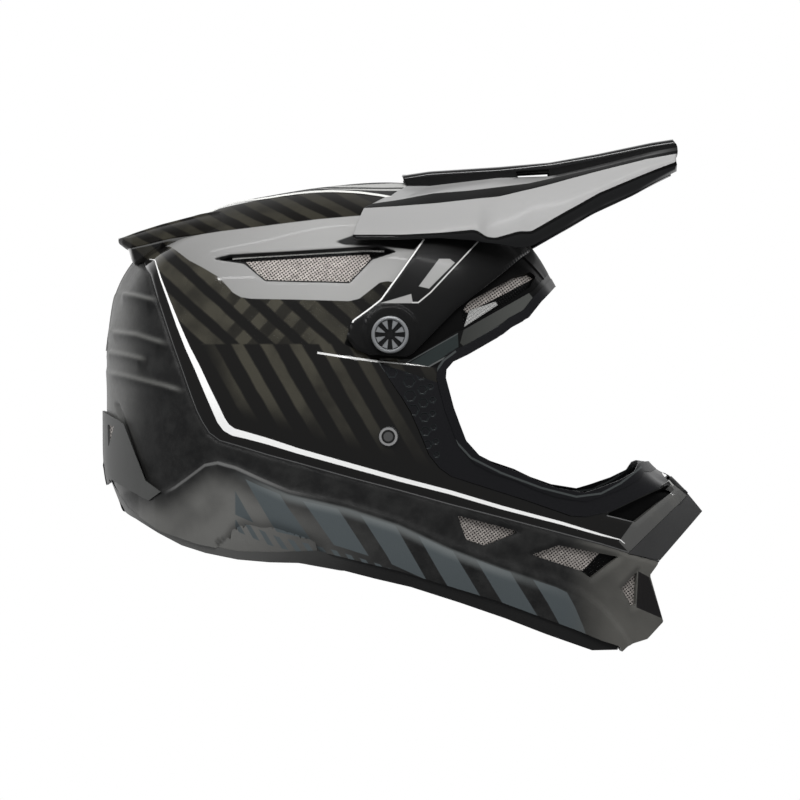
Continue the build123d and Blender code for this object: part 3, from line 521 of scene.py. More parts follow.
def settle(g, n, tree):
    """Moves the grid onto the CAD shell by a smooth correction"""
    off, weight = np.zeros(g.shape[:2]), np.zeros(g.shape[:2])
    for i in range(0, g.shape[0], 2):
        for j in range(0, g.shape[1], 2):
            loc, nor, _, _ = tree.find_nearest(Vector(g[i, j]), REACH)
            if loc is not None and abs(Vector(n[i, j]).dot(nor)) > LEAST_TURN:
                d = (np.array(loc) - g[i, j]) @ n[i, j]
                if abs(d) < LARGEST_STEP:
                    off[i, j], weight[i, j] = d, 1
    for _ in range(10):
        for a in (off, weight):
            a[1:-1] = (a[:-2] + 2 * a[1:-1] + a[2:]) / 4
            a[:, 1:-1] = (a[:, :-2] + 2 * a[:, 1:-1] + a[:, 2:]) / 4
    fixed = np.where(weight > 1e-4, off / np.maximum(weight, 1e-4), 0)
    return g + n * fixed[..., None]


shell_tree, shell_v, shell_t = tree_of("outer_shell")
grid = settle(grid, normals, shell_tree)
flat_v, flat_n = grid.reshape(-1, 3), normals.reshape(-1, 3)
middle = grid[0, NV // 2]
turn = np.cross(grid[1, NV // 2] - middle, grid[0, NV // 2 + 1] - middle) @ normals[0, NV // 2]
TRIS = grid_tris(NX, NV, flip=bool(turn < 0))


def form_section(x):
    """The upper half of the form's section at x: places out and up"""
    k = float(np.interp(x, grid[:, 0, 0], np.arange(NX)))
    i = min(int(k), NX - 2)
    ring = grid[i] * (1 - k + i) + grid[i + 1] * (k - i)
    last = int(np.argmax(ring[:, 1]))
    return ring[: last + 1, 1], ring[: last + 1, 2]


def width_at(line):
    """Half the crown's width along a line of the side view, as places and widths"""
    x = sx(np.linspace(150, 450, 61))
    half = []
    for place, level in zip(x, level_of(line, x)):
        y, z = form_section(place)
        half.append(float(np.interp(-level, -z, y)) if level < z.max() else 0.0)
    return x, np.convolve(np.pad(half, 7, mode="edge"), np.ones(15) / 15, "valid")


CROWN_WIDTHS = {k: width_at(line) for k, line in CROWN_LINES.items()}


def beyond(name, x, y):
    """How far a place lies outside one of the crown's lines, across the helmet"""
    return np.abs(y) - np.interp(x, *CROWN_WIDTHS[name])


def hole(outline, x, y, z):
    """Positive outside a hole that is cut only away from the middle"""
    return -np.minimum(zone(outline, x, z), y - VENT_INNER)


def ring_out(radius):
    """Keeps what lies outside a circle about the visor's pivot"""
    return lambda x, y, z: np.hypot(x - PIVOT[0], z - PIVOT[1]) - radius


def flat(x, z, f):
    """No relief"""
    return np.zeros(x.shape)


def skin(name, keep, stand, relief, look, slot, fields=None, wall=SKIN_WALL, node="outer_shell",
         body="helmet"):
    """A smooth skin on the shell's form, kept where keep is positive, with its edges turned in"""
    x, y, z = flat_v.T
    data = fields(x, z, y) if fields else {}
    verts = flat_v + flat_n * (relief(x, z, data) + stand)[:, None]
    data = {**data, "normal": flat_n, "base": flat_v.copy()}
    tris = TRIS
    for field in keep:
        verts, data, tris = clip(verts, data, tris, field(*data["base"].T))
    verts, data, tris = mirrored(verts, data, tris)
    normal = data.pop("normal")
    del data["base"]
    n = normal / (np.linalg.norm(normal, axis=1, keepdims=True) + 1e-9)
    ends, back = np.unique(rim(verts, tris), return_inverse=True)
    a, b = back.reshape(-1, 2).T + len(verts)
    k = len(ends)
    strip = np.vstack([np.stack([b, a, a + k], 1), np.stack([b, a + k, b + k], 1)])
    out = {q: np.concatenate([v, v[ends], v[ends]]) for q, v in data.items()}
    low = np.vstack([verts[ends], (verts - n * wall)[ends]])
    obj = piece(name, np.vstack([verts, low]), np.vstack([tris, strip]), MAT[look], body, slot, out)
    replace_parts(obj, node)


# ---------------------------------------------------------------- materials
class Maker:
    """Builds one material's nodes"""

    def __init__(self, name):
        self.mat = bpy.data.materials.new(name)
        self.mat.use_nodes = True
        self.tree = self.mat.node_tree
        self.tree.nodes.clear()
        self.shade = self.node("ShaderNodeBsdfPrincipled")
        self.link(self.shade.outputs[0], self.node("ShaderNodeOutputMaterial").inputs[0])
        self.place = self.node("ShaderNodeTexCoord").outputs["Object"]
        xyz = self.node("ShaderNodeSeparateXYZ")
        self.link(self.place, xyz.inputs[0])
        self.x, self.y, self.z = xyz.outputs

    def node(self, kind, **props):
        n = self.tree.nodes.new(kind)
        for k, v in props.items():
            setattr(n, k, v)
        return n

    def link(self, a, b):
        self.tree.links.new(a, b)

    def put(self, socket, value):
        """Links a value or sets it, a colour by its three parts or as one grey"""
        if isinstance(value, bpy.types.NodeSocket):
            self.link(value, socket)
        elif socket.type == "RGBA":
            socket.default_value = (*value, 1) if isinstance(value, tuple) else (value, value, value, 1)
        else:
            socket.default_value = value

    def math(self, op, *values):
        n = self.node("ShaderNodeMath", operation=op)
        for socket, value in zip(n.inputs, values):
            self.put(socket, value)
        return n.outputs[0]

    def chain(self, op, values):
        """One operation over all values in turn"""
        total = values[0]
        for value in values[1:]:
            total = self.math(op, total, value)
        return total

    def add(self, *values):
        return self.chain("ADD", values)

    def mul(self, *values):
        return self.chain("MULTIPLY", values)

    def most(self, *values):
        return self.chain("MAXIMUM", values)

    def sub(self, a, b):
        return self.math("SUBTRACT", a, b)

    def rest(self, share):
        """What a share leaves of one"""
        return self.sub(1.0, share)

    def size(self, value):
        return self.math("ABSOLUTE", value)

    def ramp(self, value, low, high, a=0.0, b=1.0, smooth=True):
        n = self.node("ShaderNodeMapRange", interpolation_type="SMOOTHSTEP" if smooth else "LINEAR")
        for socket, v in zip(n.inputs, (value, low, high, a, b)):
            self.put(socket, v)
        return n.outputs[0]

    def between(self, value, a, b, c, d):
        """Rises from a to b and falls from c to d"""
        return self.mul(self.ramp(value, a, b), self.ramp(value, d, c))

    def along(self, start, end, a=0.0, b=1.0, smooth=True):
        """A ramp along the helmet between two picture places"""
        return self.ramp(self.x, float(sx(start)), float(sx(end)), a, b, smooth)

    def level(self, start, end):
        """A ramp in height between two picture places"""
        return self.ramp(self.z, float(sz(start)), float(sz(end)))

    def attr(self, name):
        return self.node("ShaderNodeAttribute", attribute_name=name).outputs["Fac"]

    def edge(self, name, ease):
        """1 where a field is positive, eased over its zero line"""
        return self.ramp(self.attr(name), -ease, ease)

    def mix(self, f, a, b):
        n = self.node("ShaderNodeMix", data_type="RGBA")
        for i, v in ((0, f), (6, a), (7, b)):
            self.put(n.inputs[i], v)
        return n.outputs[2]

    def fade(self, f, a, b):
        """From the number a to the number b"""
        n = self.node("ShaderNodeMix", data_type="FLOAT")
        for i, v in ((0, f), (2, a), (3, b)):
            self.put(n.inputs[i], v)
        return n.outputs[0]

    def paint(self, color, *coats):
        """Coats over a colour, each a mask and a tone"""
        for mask, tone in coats:
            color = self.mix(mask, color, tone)
        return color

    def tint(self, value, color):
        """A colour or a grey times a number that changes over the surface"""
        n = self.node("ShaderNodeCombineColor")
        for i, part in enumerate(color if isinstance(color, tuple) else (color,) * 3):
            self.link(self.mul(value, part), n.inputs[i])
        return n.outputs[0]

    def noise(self, scale, detail=3.0, rough=0.5):
        n = self.node("ShaderNodeTexNoise")
        for k, v in (("Scale", scale), ("Detail", detail), ("Roughness", rough), ("Vector", self.place)):
            self.put(n.inputs[k], v)
        return n.outputs[0]

    def cloud(self, scale, detail, low, high, least):
        """Soft patches between least and 1"""
        return self.ramp(self.noise(scale, detail), low, high, least, 1.0)

    def bump(self, height, distance, strength=1.0, normal=None):
        n = self.node("ShaderNodeBump")
        for k, v in (("Strength", strength), ("Distance", distance), ("Height", height)):
            self.put(n.inputs[k], v)
        if normal:
            self.link(normal, n.inputs["Normal"])
        return n.outputs[0]

    def grain(self, strength):
        """The fine grain of moulded plastic"""
        return self.bump(self.noise(900, 2), 0.0001, strength)

    def turned(self, angle):
        """Distance along a direction of the side view, in metres"""
        return self.add(self.mul(self.x, math.cos(angle)), self.mul(self.z, math.sin(angle)))

    def wave(self, value, pitch, share=0.5, edge=0.08):
        """1 on the bands of a stripe pattern and 0 between them"""
        d = self.size(self.sub(self.math("FRACT", self.mul(value, 1 / pitch)), 0.5))
        return self.ramp(d, share / 2 - edge, share / 2 + edge, 1, 0)

    def tow(self, degrees, pitch, share):
        """Flat woven bands that run down and forward at an angle"""
        wander = self.mul(self.sub(self.noise(60, 2), 0.5), 0.0016)
        across = self.turned(math.pi / 2 - math.radians(degrees))
        return self.wave(self.add(across, wander), pitch, share, 0.05)

    def patch(self, corners, ease=0.0002):
        """1 inside a convex outline of the side view given in picture places"""
        corners = side(corners)
        middle = corners.mean(0)
        least = None
        for (ax, az), (bx, bz) in zip(corners, np.roll(corners, -1, axis=0)):
            nx, nz = az - bz, bx - ax
            size = math.copysign(math.hypot(nx, nz), (middle[0] - ax) * nx + (middle[1] - az) * nz)
            d = self.add(self.mul(self.sub(self.x, float(ax)), float(nx / size)),
                         self.mul(self.sub(self.z, float(az)), float(nz / size)))
            least = d if least is None else self.math("MINIMUM", least, d)
        return self.ramp(least, -ease, ease)

    def stroke(self, points, wide, ease=0.00012, end_ease=0.0003):
        """1 along a line of the side view, wide in picture places"""
        parts, half = [], wide * STEP_M / 2
        for (ax, az), (bx, bz) in zip(side(points[:-1]), side(points[1:])):
            run = math.hypot(bx - ax, bz - az)
            ux, uz = float((bx - ax) / run), float((bz - az) / run)
            start = float(ax * ux + az * uz + run / 2)
            along = self.sub(self.add(self.mul(self.x, ux), self.mul(self.z, uz)), start)
            across = self.sub(self.sub(self.mul(self.z, ux), self.mul(self.x, uz)), float(az * ux - ax * uz))
            on = self.ramp(self.size(across), half + ease, half - ease)
            parts.append(self.mul(on, self.ramp(self.size(along), run / 2 + end_ease, run / 2)))
        return self.most(*parts)

    def finish(self, color, rough, metal=0.0, coat=0.0, coat_rough=0.05, normal=None, spec=0.5, sheen=0.0):
        for k, v in (("Base Color", color), ("Roughness", rough), ("Metallic", metal), ("Coat Weight", coat),
                     ("Coat Roughness", coat_rough), ("Specular IOR Level", spec), ("Sheen Weight", sheen)):
            self.put(self.shade.inputs[k], v)
        if normal:
            self.link(normal, self.shade.inputs["Normal"])
        return self.mat


# ---------------------------------------------------------------- looks
def carbon(m, band):
    """Slanted tows, crossed in the middle, that fade in patches and towards the front"""
    turn = m.level(346, 344)
    crossed = m.mul(m.tow(-48, 0.0138, 0.50), m.along(222, 236), m.along(322, 306), 0.75)
    tows = m.fade(turn, m.tow(60, 0.0150, 0.42), m.mul(m.tow(42, 0.0138, 0.56), m.rest(crossed)))
    tows = m.fade(band, tows, m.tow(28, 0.0105, 0.5))
    patch = m.ramp(m.noise(28, 3, 0.6), 0.32, 0.62)
    near_stripe = m.ramp(m.attr("d_lower"), -0.016, -0.034)
    gap = m.ramp(m.attr("s_stripe"), 0.0, 0.0004, 1.0, 0.0)
    weight = m.mul(tows, m.add(0.35, m.mul(patch, 0.65)), m.add(0.25, m.mul(m.along(440, 300), 0.75)),
                   m.fade(turn, near_stripe, 1.0), m.add(0.8, m.mul(m.noise(2600, 2, 0.6), 0.4)), gap,
                   m.rest(m.mul(band, 0.45)))
    return m.mix(weight, (0.0042, 0.0038, 0.0032), (0.042, 0.039, 0.029))


def matte(m):
    """Rubbed black, lighter in soft patches below the ridge towards the back, with painted light along the
    back edge, painted highlights on and below the ridge, painted highlights and shade at the ribs, and plain
    slanted bands under the ridge
    """
    d = m.attr("d_ridge")
    slant = m.add(m.x, m.mul(d, -0.85))
    bars = m.mul(m.wave(slant, 0.034, 0.60, 0.012), m.between(d, 0.0042, 0.0046, 0.0258, 0.0262))
    thin = m.mul(m.wave(slant, 0.0085, 0.45, 0.05), m.between(d, 0.0286, 0.0290, 0.0348, 0.0352))
    bands = m.mul(m.most(bars, thin), m.between(m.x, -0.098, -0.097, 0.111, 0.112))
    above = m.ramp(d, 0.0, -0.004)
    low = m.mul(m.ramp(d, 0.001, 0.018), m.along(420, 190), m.cloud(30, 3, 0.25, 0.6, 0.65))
    # painted light along the back edge above the ridge, in soft patches
    lit_towards_back = m.mul(above, m.along(152, 108), m.cloud(24, 3, 0.2, 0.6, 0.7), 0.85)
    past = m.sub(d, m.along(230, 480, 0.0010, 0.0030, False))
    # a painted highlight band a little below the ridge
    ridge_highlight = m.mul(m.between(past, 0.0, 0.0020, 0.0025, 0.0075), m.along(225, 300), m.along(590, 470), 0.55)
    # a painted highlight along the ridge line
    edge = m.mul(m.between(d, -0.0004, 0.0004, 0.0012, 0.0022), m.along(165, 180), m.along(330, 250), 0.7)
    rubbed = m.ramp(m.noise(90, 4, 0.7), 0.3, 0.75)
    return m.paint(
        m.mix(rubbed, 0.0085, (0.020, 0.020, 0.0195)),
        (low, (0.140, 0.139, 0.132)),
        (lit_towards_back, (0.125, 0.125, 0.120)),
        # painted highlight above each rib and painted shade below it
        (m.mul(above, m.attr("rib_light"), 0.6), (0.110, 0.110, 0.104)),
        (m.mul(above, m.attr("rib_shade"), 0.8), 0.006),
        (bands, (0.066, 0.078, 0.083)),
        (ridge_highlight, (0.190, 0.205, 0.205)),
        (edge, (0.120, 0.120, 0.118)),
    )


def shell_material():
    """Gloss carbon with painted reflections on its facet above the step and on the crown, painted shade and
    painted highlights in places, matte below the step, and the white stripe
    """
    m = Maker("shell_gloss_carbon")
    lower, facet, band = m.edge("d_lower", 0.0002), m.edge("d_facet", 0.0003), m.edge("d_band", 0.0003)
    dark, crown = m.edge("d_dark", 0.0003), m.edge("d_crown", 0.0002)
    upper, d_top = m.rest(lower), m.attr("d_top")
    top = m.ramp(d_top, 0.0002, -0.0002)
    # a painted highlight along the crown's crease
    crease = m.mul(m.between(d_top, -0.0012, -0.0009, 0.0009, 0.0012), m.along(150, 215), m.along(404, 385))
    # painted light on the front of the chin's matte part, in soft patches
    glow = m.mul(m.along(560, 618), m.cloud(26, 2, 0.2, 0.65, 0.5), lower, 0.8)
    # painted light on the chin beside the slot, fading across it
    chin = m.mul(m.patch(CHIN_LIGHT), upper, m.ramp(m.turned(2.36), -0.030, 0.012, 0.25, 1.0))
    # a painted highlight just above the step, fading out near the top
    over_step = m.between(m.attr("d_lower"), -0.0012, -0.0009, -0.0005, -0.0002)
    rim_light = m.mul(over_step, m.level(248, 262), 0.8)
    off_stripe = m.sub(m.size(m.attr("s_stripe")), m.attr("w_stripe"))
    stripe = m.mul(m.ramp(off_stripe, 0.00015, -0.00015), m.ramp(m.attr("d_stripe"), -0.004, -0.003))
    col = m.paint(
        carbon(m, band),
        # painted reflection of the lights on the facet, lighter towards the front
        (facet, m.tint(m.along(150, 330, 0.17, 0.25, False), (1.0, 0.995, 0.975))),
        # painted shade under the visor's lip
        (m.ramp(m.attr("d_black"), -0.0004, 0.0006), 0.004),
        # painted shade under the visor arm
        (dark, 0.004),
        (top, 0.006),
        # painted reflections on the crown's flank
        (crown, (0.34, 0.34, 0.33)),
        (crease, (0.62, 0.62, 0.60)),
        # painted highlights along the crease in front of the cheek and down the cheek
        (m.stroke([(319, 353.6), (345, 357.6), (378, 362)], 2.0), (0.60, 0.60, 0.59)),
        (m.stroke([(378, 362), (404, 364.5), (430, 366.8)], 1.4), (0.36, 0.36, 0.35)),
        (m.mul(m.stroke([(379, 362.8), (405, 400), (425, 430), (444, 452)], 1.0), 0.5), (0.10, 0.11, 0.11)),
        # painted shade along the rim of the side vent's hollow
        (m.ramp(m.attr("d_vent"), -0.0009, -0.0003), 0.003),
        (lower, matte(m)),
        # painted light on the chin's front
        (glow, (0.115, 0.112, 0.102)),
        (m.patch([(638, 571), (649, 577), (663, 619), (636, 607)]), (0.010, 0.009, 0.009)),
        # painted light on the chin, a broad painted highlight along its edge, and painted highlight lines
        # round the slot
        (chin, (0.30, 0.30, 0.29)),
        (m.mul(m.stroke(CHIN_EDGE, 9.0), upper), (0.060, 0.062, 0.060)),
        (m.stroke([(606, 511), (671, 481), (675, 486)], 1.4), (0.28, 0.28, 0.27)),
        (m.stroke([(606, 515), (633, 521.5)], 1.2), 0.12),
        # painted highlight along the top of the step
        (rim_light, 0.105),
        (stripe, (0.86, 0.86, 0.85)),
    )
    # the band, the crown's top and the painted shade under the arm lose their gloss
    dull = m.most(band, top, dark)
    rough_low = m.add(0.36, m.mul(m.noise(300, 3), 0.16))
    rough = m.fade(lower, m.add(0.10, m.mul(facet, 0.35)), rough_low)
    # the coat is thinned where the reflections are painted on the facet and the crown
    coat = m.fade(lower, m.rest(m.mul(m.most(facet, crown), 0.8)), 0.0)
    grain = m.bump(m.mul(m.noise(1400, 2), lower), 0.00012, 0.35)
    coat = m.mul(coat, m.rest(m.mul(dull, 0.96)))
    return m.finish(col, m.fade(dull, rough, 0.5), coat=coat, coat_rough=0.03, spec=m.fade(dull, 0.45, 0.05),
                    normal=m.bump(m.noise(16, 1), 0.0003, 0.2, grain))


def plastic(name, color, rough, coat=0.0, grain=0.5, spec=0.4):
    """Moulded plastic or rubber with a fine grain and a little wear"""
    m = Maker(name)
    wear = m.noise(40, 4, 0.6)
    return m.finish(m.tint(m.add(0.8, m.mul(wear, 0.4)), color), m.add(rough - 0.04, m.mul(wear, 0.08)),
                    coat=coat, normal=m.grain(grain), spec=spec)


def mesh_metal(name, window=None, line=(), plates=()):
    """Woven wire seen as a lattice of bright wires over dark gaps, black outside its window, with a painted
    highlight along a line where one is given
    """
    m = Maker(name)
    wires = m.most(*(m.wave(m.turned(a), 0.0016, 0.50, 0.14) for a in (0.62, 0.62 + math.pi / 2)))
    glow = m.add(0.35, m.noise(420, 2))
    col = m.mix(m.mul(wires, glow), (0.010, 0.008, 0.007), (0.50, 0.46, 0.43))
    if window:
        col = m.mix(m.patch(window), 0.002, col)
    if line:
        # a painted highlight along the given line
        col = m.mix(m.stroke(line, 1.8), col, (0.52, 0.52, 0.50))
    col = m.paint(col, *((m.patch(corners), tone) for corners, tone in plates))
    return m.finish(col, 0.38, metal=0.4, normal=m.bump(wires, 0.0006, 0.8))


def webbing_material():
    m = Maker("webbing_weave")
    w = m.most(*(m.wave(m.add(m.x, m.mul(m.y, s)), 0.0016, 0.5, 0.2) for s in (0.6, -0.6)))
    col = m.mix(w, (0.006, 0.006, 0.007), (0.022, 0.022, 0.024))
    return m.finish(col, 0.8, normal=m.bump(w, 0.0003, 0.6), spec=0.2, sheen=0.2)


def fabric_material(name, color):
    m = Maker(name)
    w = m.mul(m.wave(m.add(m.x, m.z), 0.0022, 0.5, 0.2), m.wave(m.sub(m.y, m.z), 0.0022, 0.5, 0.2))
    f = m.noise(1200, 3, 0.7)
    shade = m.add(0.65, m.mul(w, 0.3), m.mul(f, 0.4))
    return m.finish(m.tint(shade, color), 0.9, normal=m.bump(m.add(w, f), 0.0004, 0.5), spec=0.15, sheen=0.35)


def foam_material():
    """Bead foam: small closed cells with dark joints"""
    m = Maker("bead_foam")
    n = m.node("ShaderNodeTexVoronoi", feature="DISTANCE_TO_EDGE")
    n.inputs["Scale"].default_value = 330
    m.link(m.place, n.inputs["Vector"])
    e = m.ramp(n.outputs["Distance"], 0.0, 0.12)
    col = m.mix(e, (0.012, 0.012, 0.013), (0.035, 0.035, 0.037))
    return m.finish(col, 0.7, normal=m.bump(e, 0.0004, 0.5), spec=0.3)


def metal(name, color, rough, share=1.0):
    m = Maker(name)
    s = m.noise(700, 3)
    color = m.tint(m.add(0.9, m.mul(m.noise(60, 3), 0.2)), color)
    rough = m.add(rough - 0.05, m.mul(s, 0.12))
    return m.finish(color, rough, metal=share, normal=m.bump(s, 0.00005, 0.3))


def cheek_material():
    """Matte panel with rows of small six-sided dimples beside the face"""
    m = Maker("cheek_panel")
    best = None
    for px, py, r in DIMPLES:
        dx, dz = m.size(m.sub(m.x, float(sx(px)))), m.size(m.sub(m.z, float(sz(py))))
        d = m.sub(m.most(dz, m.add(m.mul(dz, 0.5), m.mul(dx, 0.866))), r * STEP_M)
        best = d if best is None else m.math("MINIMUM", best, d)
    hollow = m.ramp(best, 0.0001, -0.0006)
    ring = m.mul(m.ramp(best, -0.0009, -0.0003), m.ramp(best, 0.0004, 0.0))
    col = m.mix(ring, (0.0065, 0.0065, 0.0075), (0.016, 0.019, 0.020))
    n = m.bump(m.noise(900, 2), 0.0001, 0.4, m.bump(m.rest(hollow), 0.0011, 1.0))
    return m.finish(col, m.add(0.36, m.mul(m.noise(60, 3), 0.1)), normal=n, spec=0.45)


def reflection_grey(name, tone, start, end, last):
    """A light grey under a clear coat that stands for a painted reflection of the lights, from one tone at the
    back to another in front
    """
    m = Maker(name)
    grey = m.tint(m.along(start, end, tone, last, False), (1.0, 0.995, 0.985))
    ripple = m.bump(m.noise(18, 1), 0.0003, 0.1)
    return m.finish(grey, 0.42, coat=0.25, coat_rough=0.12, normal=ripple, spec=0.3)


def arm_material():
    """Glossy black arm with painted reflections on a few faces where its web turns up, and painted highlights
    along its edges
    """
    m = Maker("visor_arm")
    # painted reflections on the faces where the web turns up
    light = m.patch([(438.7, 260.3), (449.4, 260.3), (454.3, 264.1), (428.7, 290.1), (418.5, 287.8)])
    low = m.patch([(380.5, 304.6), (411, 295.5), (412.7, 304.6)])
    # painted highlight lines along the outline, the fold and the rear edge
    outline = m.stroke([(371.3, 357.5), (401.9, 359.8), (411.1, 356.7), (461.6, 306.9), (529, 253)], 1.2)
    fold = m.stroke([(412, 304), (418, 304), (430, 294), (480, 240), (475, 234.5)], 1.3)
    lines = m.most(fold, m.mul(outline, 0.35))
    rear = m.between(m.attr("d_edge"), 0.0001, 0.0003, 0.0010, 0.0013)
    rear = m.mul(rear, m.ramp(m.attr("d_rear"), 0.0020, 0.0016))
    col = m.paint(0.0045, (m.mul(m.most(light, low), 0.9), (0.27, 0.27, 0.265)),
                  (rear, (0.62, 0.62, 0.61)), (lines, (0.42, 0.42, 0.41)))
    return m.finish(col, 0.3, coat=0.1, coat_rough=0.1, normal=m.bump(m.noise(20, 1), 0.0003, 0.1), spec=0.25)


def brow_material():
    """Matte panel over the face with painted light on its raised faces, painted highlights along its edges and
    a painted reflection above the vent
    """
    m = Maker("brow_panel")
    # painted light on the raised faces, stronger towards the front on the upper one
    low = m.patch([(409.6, 363.6), (457, 334.5), (457.8, 347.5), (428, 367.4)])
    high = m.patch([(464.7, 323.8), (527.5, 292.4), (532, 297.8), (530.5, 305.5), (463.2, 347.5),
                    (459.3, 343.7)])
    col = m.paint(
        0.0045,
        (low, (0.020, 0.025, 0.025)),
        (m.mul(high, m.along(460, 530, 0.45, 1.0, False)), (0.062, 0.064, 0.060)),
        # painted highlights along the edges
        (m.stroke([(411.1, 356.7), (461.6, 306.9), (470, 299)], 1.2), 0.12),
        (m.stroke([(405, 364.3), (457, 334.5)], 1.0), (0.06, 0.065, 0.065)),
        (m.stroke([(428, 367.4), (463.2, 347.5), (532, 307)], 1.4), (0.085, 0.09, 0.088)),
        (m.stroke([(463, 329), (497, 309), (528, 292)], 1.2), (0.16, 0.16, 0.155)),
        # a painted reflection on the brow above the vent
        (m.patch([(468.5, 300.8), (487.7, 282), (492, 284.3), (486, 291)]), 0.25),
        (m.patch([(524, 255), (533, 249), (541, 262), (531, 267)]), (0.30, 0.31, 0.32)),
    )
    return m.finish(col, 0.45, normal=m.grain(0.4), spec=0.15)


def trim_material():
    """Rubber edge with a soft painted highlight line along it"""
    m = Maker("trim_rubber_edge")
    col = m.mix(m.stroke(TRIM_EDGE, 2.0), (0.006, 0.006, 0.007), (0.045, 0.050, 0.050))
    return m.finish(col, 0.5, normal=m.grain(0.5), spec=0.35)


def base_material():
    """The bead under the lower edge, with painted light that makes it lighter towards the back"""
    m = Maker("base_bead")
    # painted light towards the back, in soft patches
    lit_towards_back = m.mul(m.along(400, 150), m.cloud(30, 2, 0.2, 0.6, 0.6))
    col = m.mix(lit_towards_back, 0.012, (0.115, 0.115, 0.112))
    return m.finish(col, 0.5, normal=m.grain(0.5), spec=0.35)


def rivet_material():
    """A rivet: a bright ring about a dark turned face"""
    m = Maker("rivet_ring")
    dx, dz = m.sub(m.x, float(sx(388.5))), m.sub(m.z, float(sz(436)))
    r = m.math("SQRT", m.add(m.mul(dx, dx), m.mul(dz, dz)))
    col = m.paint(0.012, (m.between(r, 0.0039, 0.0042, 0.0052, 0.0056), 0.26),
                  (m.ramp(r, 0.0030, 0.0026), 0.075))
    return m.finish(col, 0.35, metal=0.2, spec=0.4)


MAT = {
    "shell": shell_material(),
    "cheek": cheek_material(),
    # painted reflections of the lights on the visor's side panel, lighter towards the front, and on the back
    # of its deck, cut off sharply further forward
    "visor_panel": reflection_grey("visor_panel_reflection", 0.25, 360, 680, 0.29),
    "deck": reflection_grey("visor_deck_reflection", 0.20, 552, 558, 0.006),
    "arm": arm_material(),
    "brow": brow_material(),
    "trim": trim_material(),
    "base": base_material(),
    "rivet": rivet_material(),
    "band": plastic("band_black", 0.003, 0.6, spec=0.12),
    "gloss": plastic("gloss_black", 0.005, 0.12, coat=1.0, grain=0.05),
    "cover": plastic("cover_matte", (0.075, 0.076, 0.074), 0.5),
    "guard": plastic("guard_matte", 0.040, 0.42),
    "plastic": plastic("small_plastic", 0.01, 0.4),
    "mesh": mesh_metal("vent_mesh_wire"),
    "jaw_mesh": mesh_metal("jaw_mesh_wire", MESH_JAW),
    "side_mesh": mesh_metal("side_mesh_wire", MESH_SIDE, SLOT_LINE),
    "brow_mesh": mesh_metal("brow_mesh_wire", MESH_BROW, (), [(BROW_PLATE, (0.46, 0.46, 0.45))]),
    "foam": foam_material(),
    "filter": fabric_material("filter_foam", 0.01),
    "pad": fabric_material("pad_knit", (0.016, 0.018, 0.021)),
    "webbing": webbing_material(),
    "alu": metal("screw_alu", (0.36, 0.37, 0.38), 0.3, share=0.6),
    "nut": metal("nut_alu", (0.6, 0.6, 0.62), 0.35),
    "steel": metal("ring_steel", (0.55, 0.55, 0.57), 0.3),
}
# Words in a CAD node's name and the look that it gets, the first one found
LOOKS = [("side_vent_mesh", "side_mesh"), ("brow_vent_mesh", "brow_mesh"), ("jaw_vent_mesh", "jaw_mesh"),
         ("mesh", "mesh"), ("visor_screw", "alu"), ("visor_top_screw", "alu"), ("nut", "nut"),
         ("rivet", "rivet"), ("anchor", "steel"), ("d_ring", "steel"), ("snap", "plastic"),
         ("washer", "plastic"), ("strap", "webbing"), ("liner", "foam"), ("mouth_filter", "filter"),
         ("rear_vent_cover", "cover"), ("mouth_guard", "guard"), ("eyeport_trim", "trim"),
         ("base_trim", "base"), ("eyeport_panel", "cheek"), ("brow_band", "brow"), ("pad", "pad"),
         ("neck_roll", "pad"), ("", "gloss")]
for node in NODES:
    mesh = NODES[node].data
    mesh.materials.clear()
    mesh.materials.append(MAT[next(look for word, look in LOOKS if word in node)])

# ---------------------------------------------------------------- the shell's skin
keep = [lambda x, y, z, cut=cut, ease=ease: ease - zone(cut, x, z) for cut, ease in (
    (FRONT_CUT, 0.0), (BASE_LINE, 0.0), (EYEPORT, -0.0012), (GUARD, 0.0), (EYE_PANEL, 0.0003),
    (BROW, 0.0003))]
keep.append(ring_out(0.0098))
keep += [lambda x, y, z, cut=cut: hole(cut, x, y, z) for cut in VENT_CUTS.values()]
skin("shell_skin", keep, 0.0, shell_relief, "shell", "shell_gloss", shell_fields)
lining = [lambda x, y, z: zone(side(SLOT_WIDE), x, z)]
skin("chin_slot_lining", lining, -0.0046, flat, "band", "shell_gloss", wall=0.0008)

# How far a face lies outside the form, off it or from the front cut to be kept, and where the tail is
REST_OUT, REST_FAR, REST_EDGE = 0.0014, 0.0027, 0.0003
TAIL_OUT, TAIL_UNDER, TAIL_ROOT = 0.0003, 266, 230


def shell_rest():
    """Faces of the CAD shell that its skin leaves out: inside, front and screw seats, without the upper faces
    of the tail
    """
    full_v = np.vstack([flat_v, flat_v * MIRROR])
    form = BVHTree.FromPolygons(full_v.tolist(), np.vstack([TRIS, TRIS[:, ::-1] + len(flat_v)]).tolist())
    centre = shell_v[shell_t].mean(1)
    front = np.abs(zone(FRONT_CUT, centre[:, 0], centre[:, 2]))
    want = np.zeros(len(shell_t), bool)
    for i, c in enumerate(centre):
        loc, nor, _, dist = form.find_nearest(Vector(c))
        out = (c - np.array(loc)) @ np.array(nor)
        tail = out > TAIL_OUT and c[2] > sz(TAIL_UNDER) and c[0] < sx(TAIL_ROOT)
        want[i] = (out > REST_OUT or dist > REST_FAR or front[i] < REST_EDGE) and not tail
    verts, _, tris = tidy(shell_v, {}, shell_t[want])
    x, y, z = verts.T
    obj = piece("shell_inside_and_tail", verts, tris, MAT["shell"], slot="shell_gloss",
                data=shell_fields(x, z, y), smooth=False)
    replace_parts(obj, "outer_shell")


shell_rest()

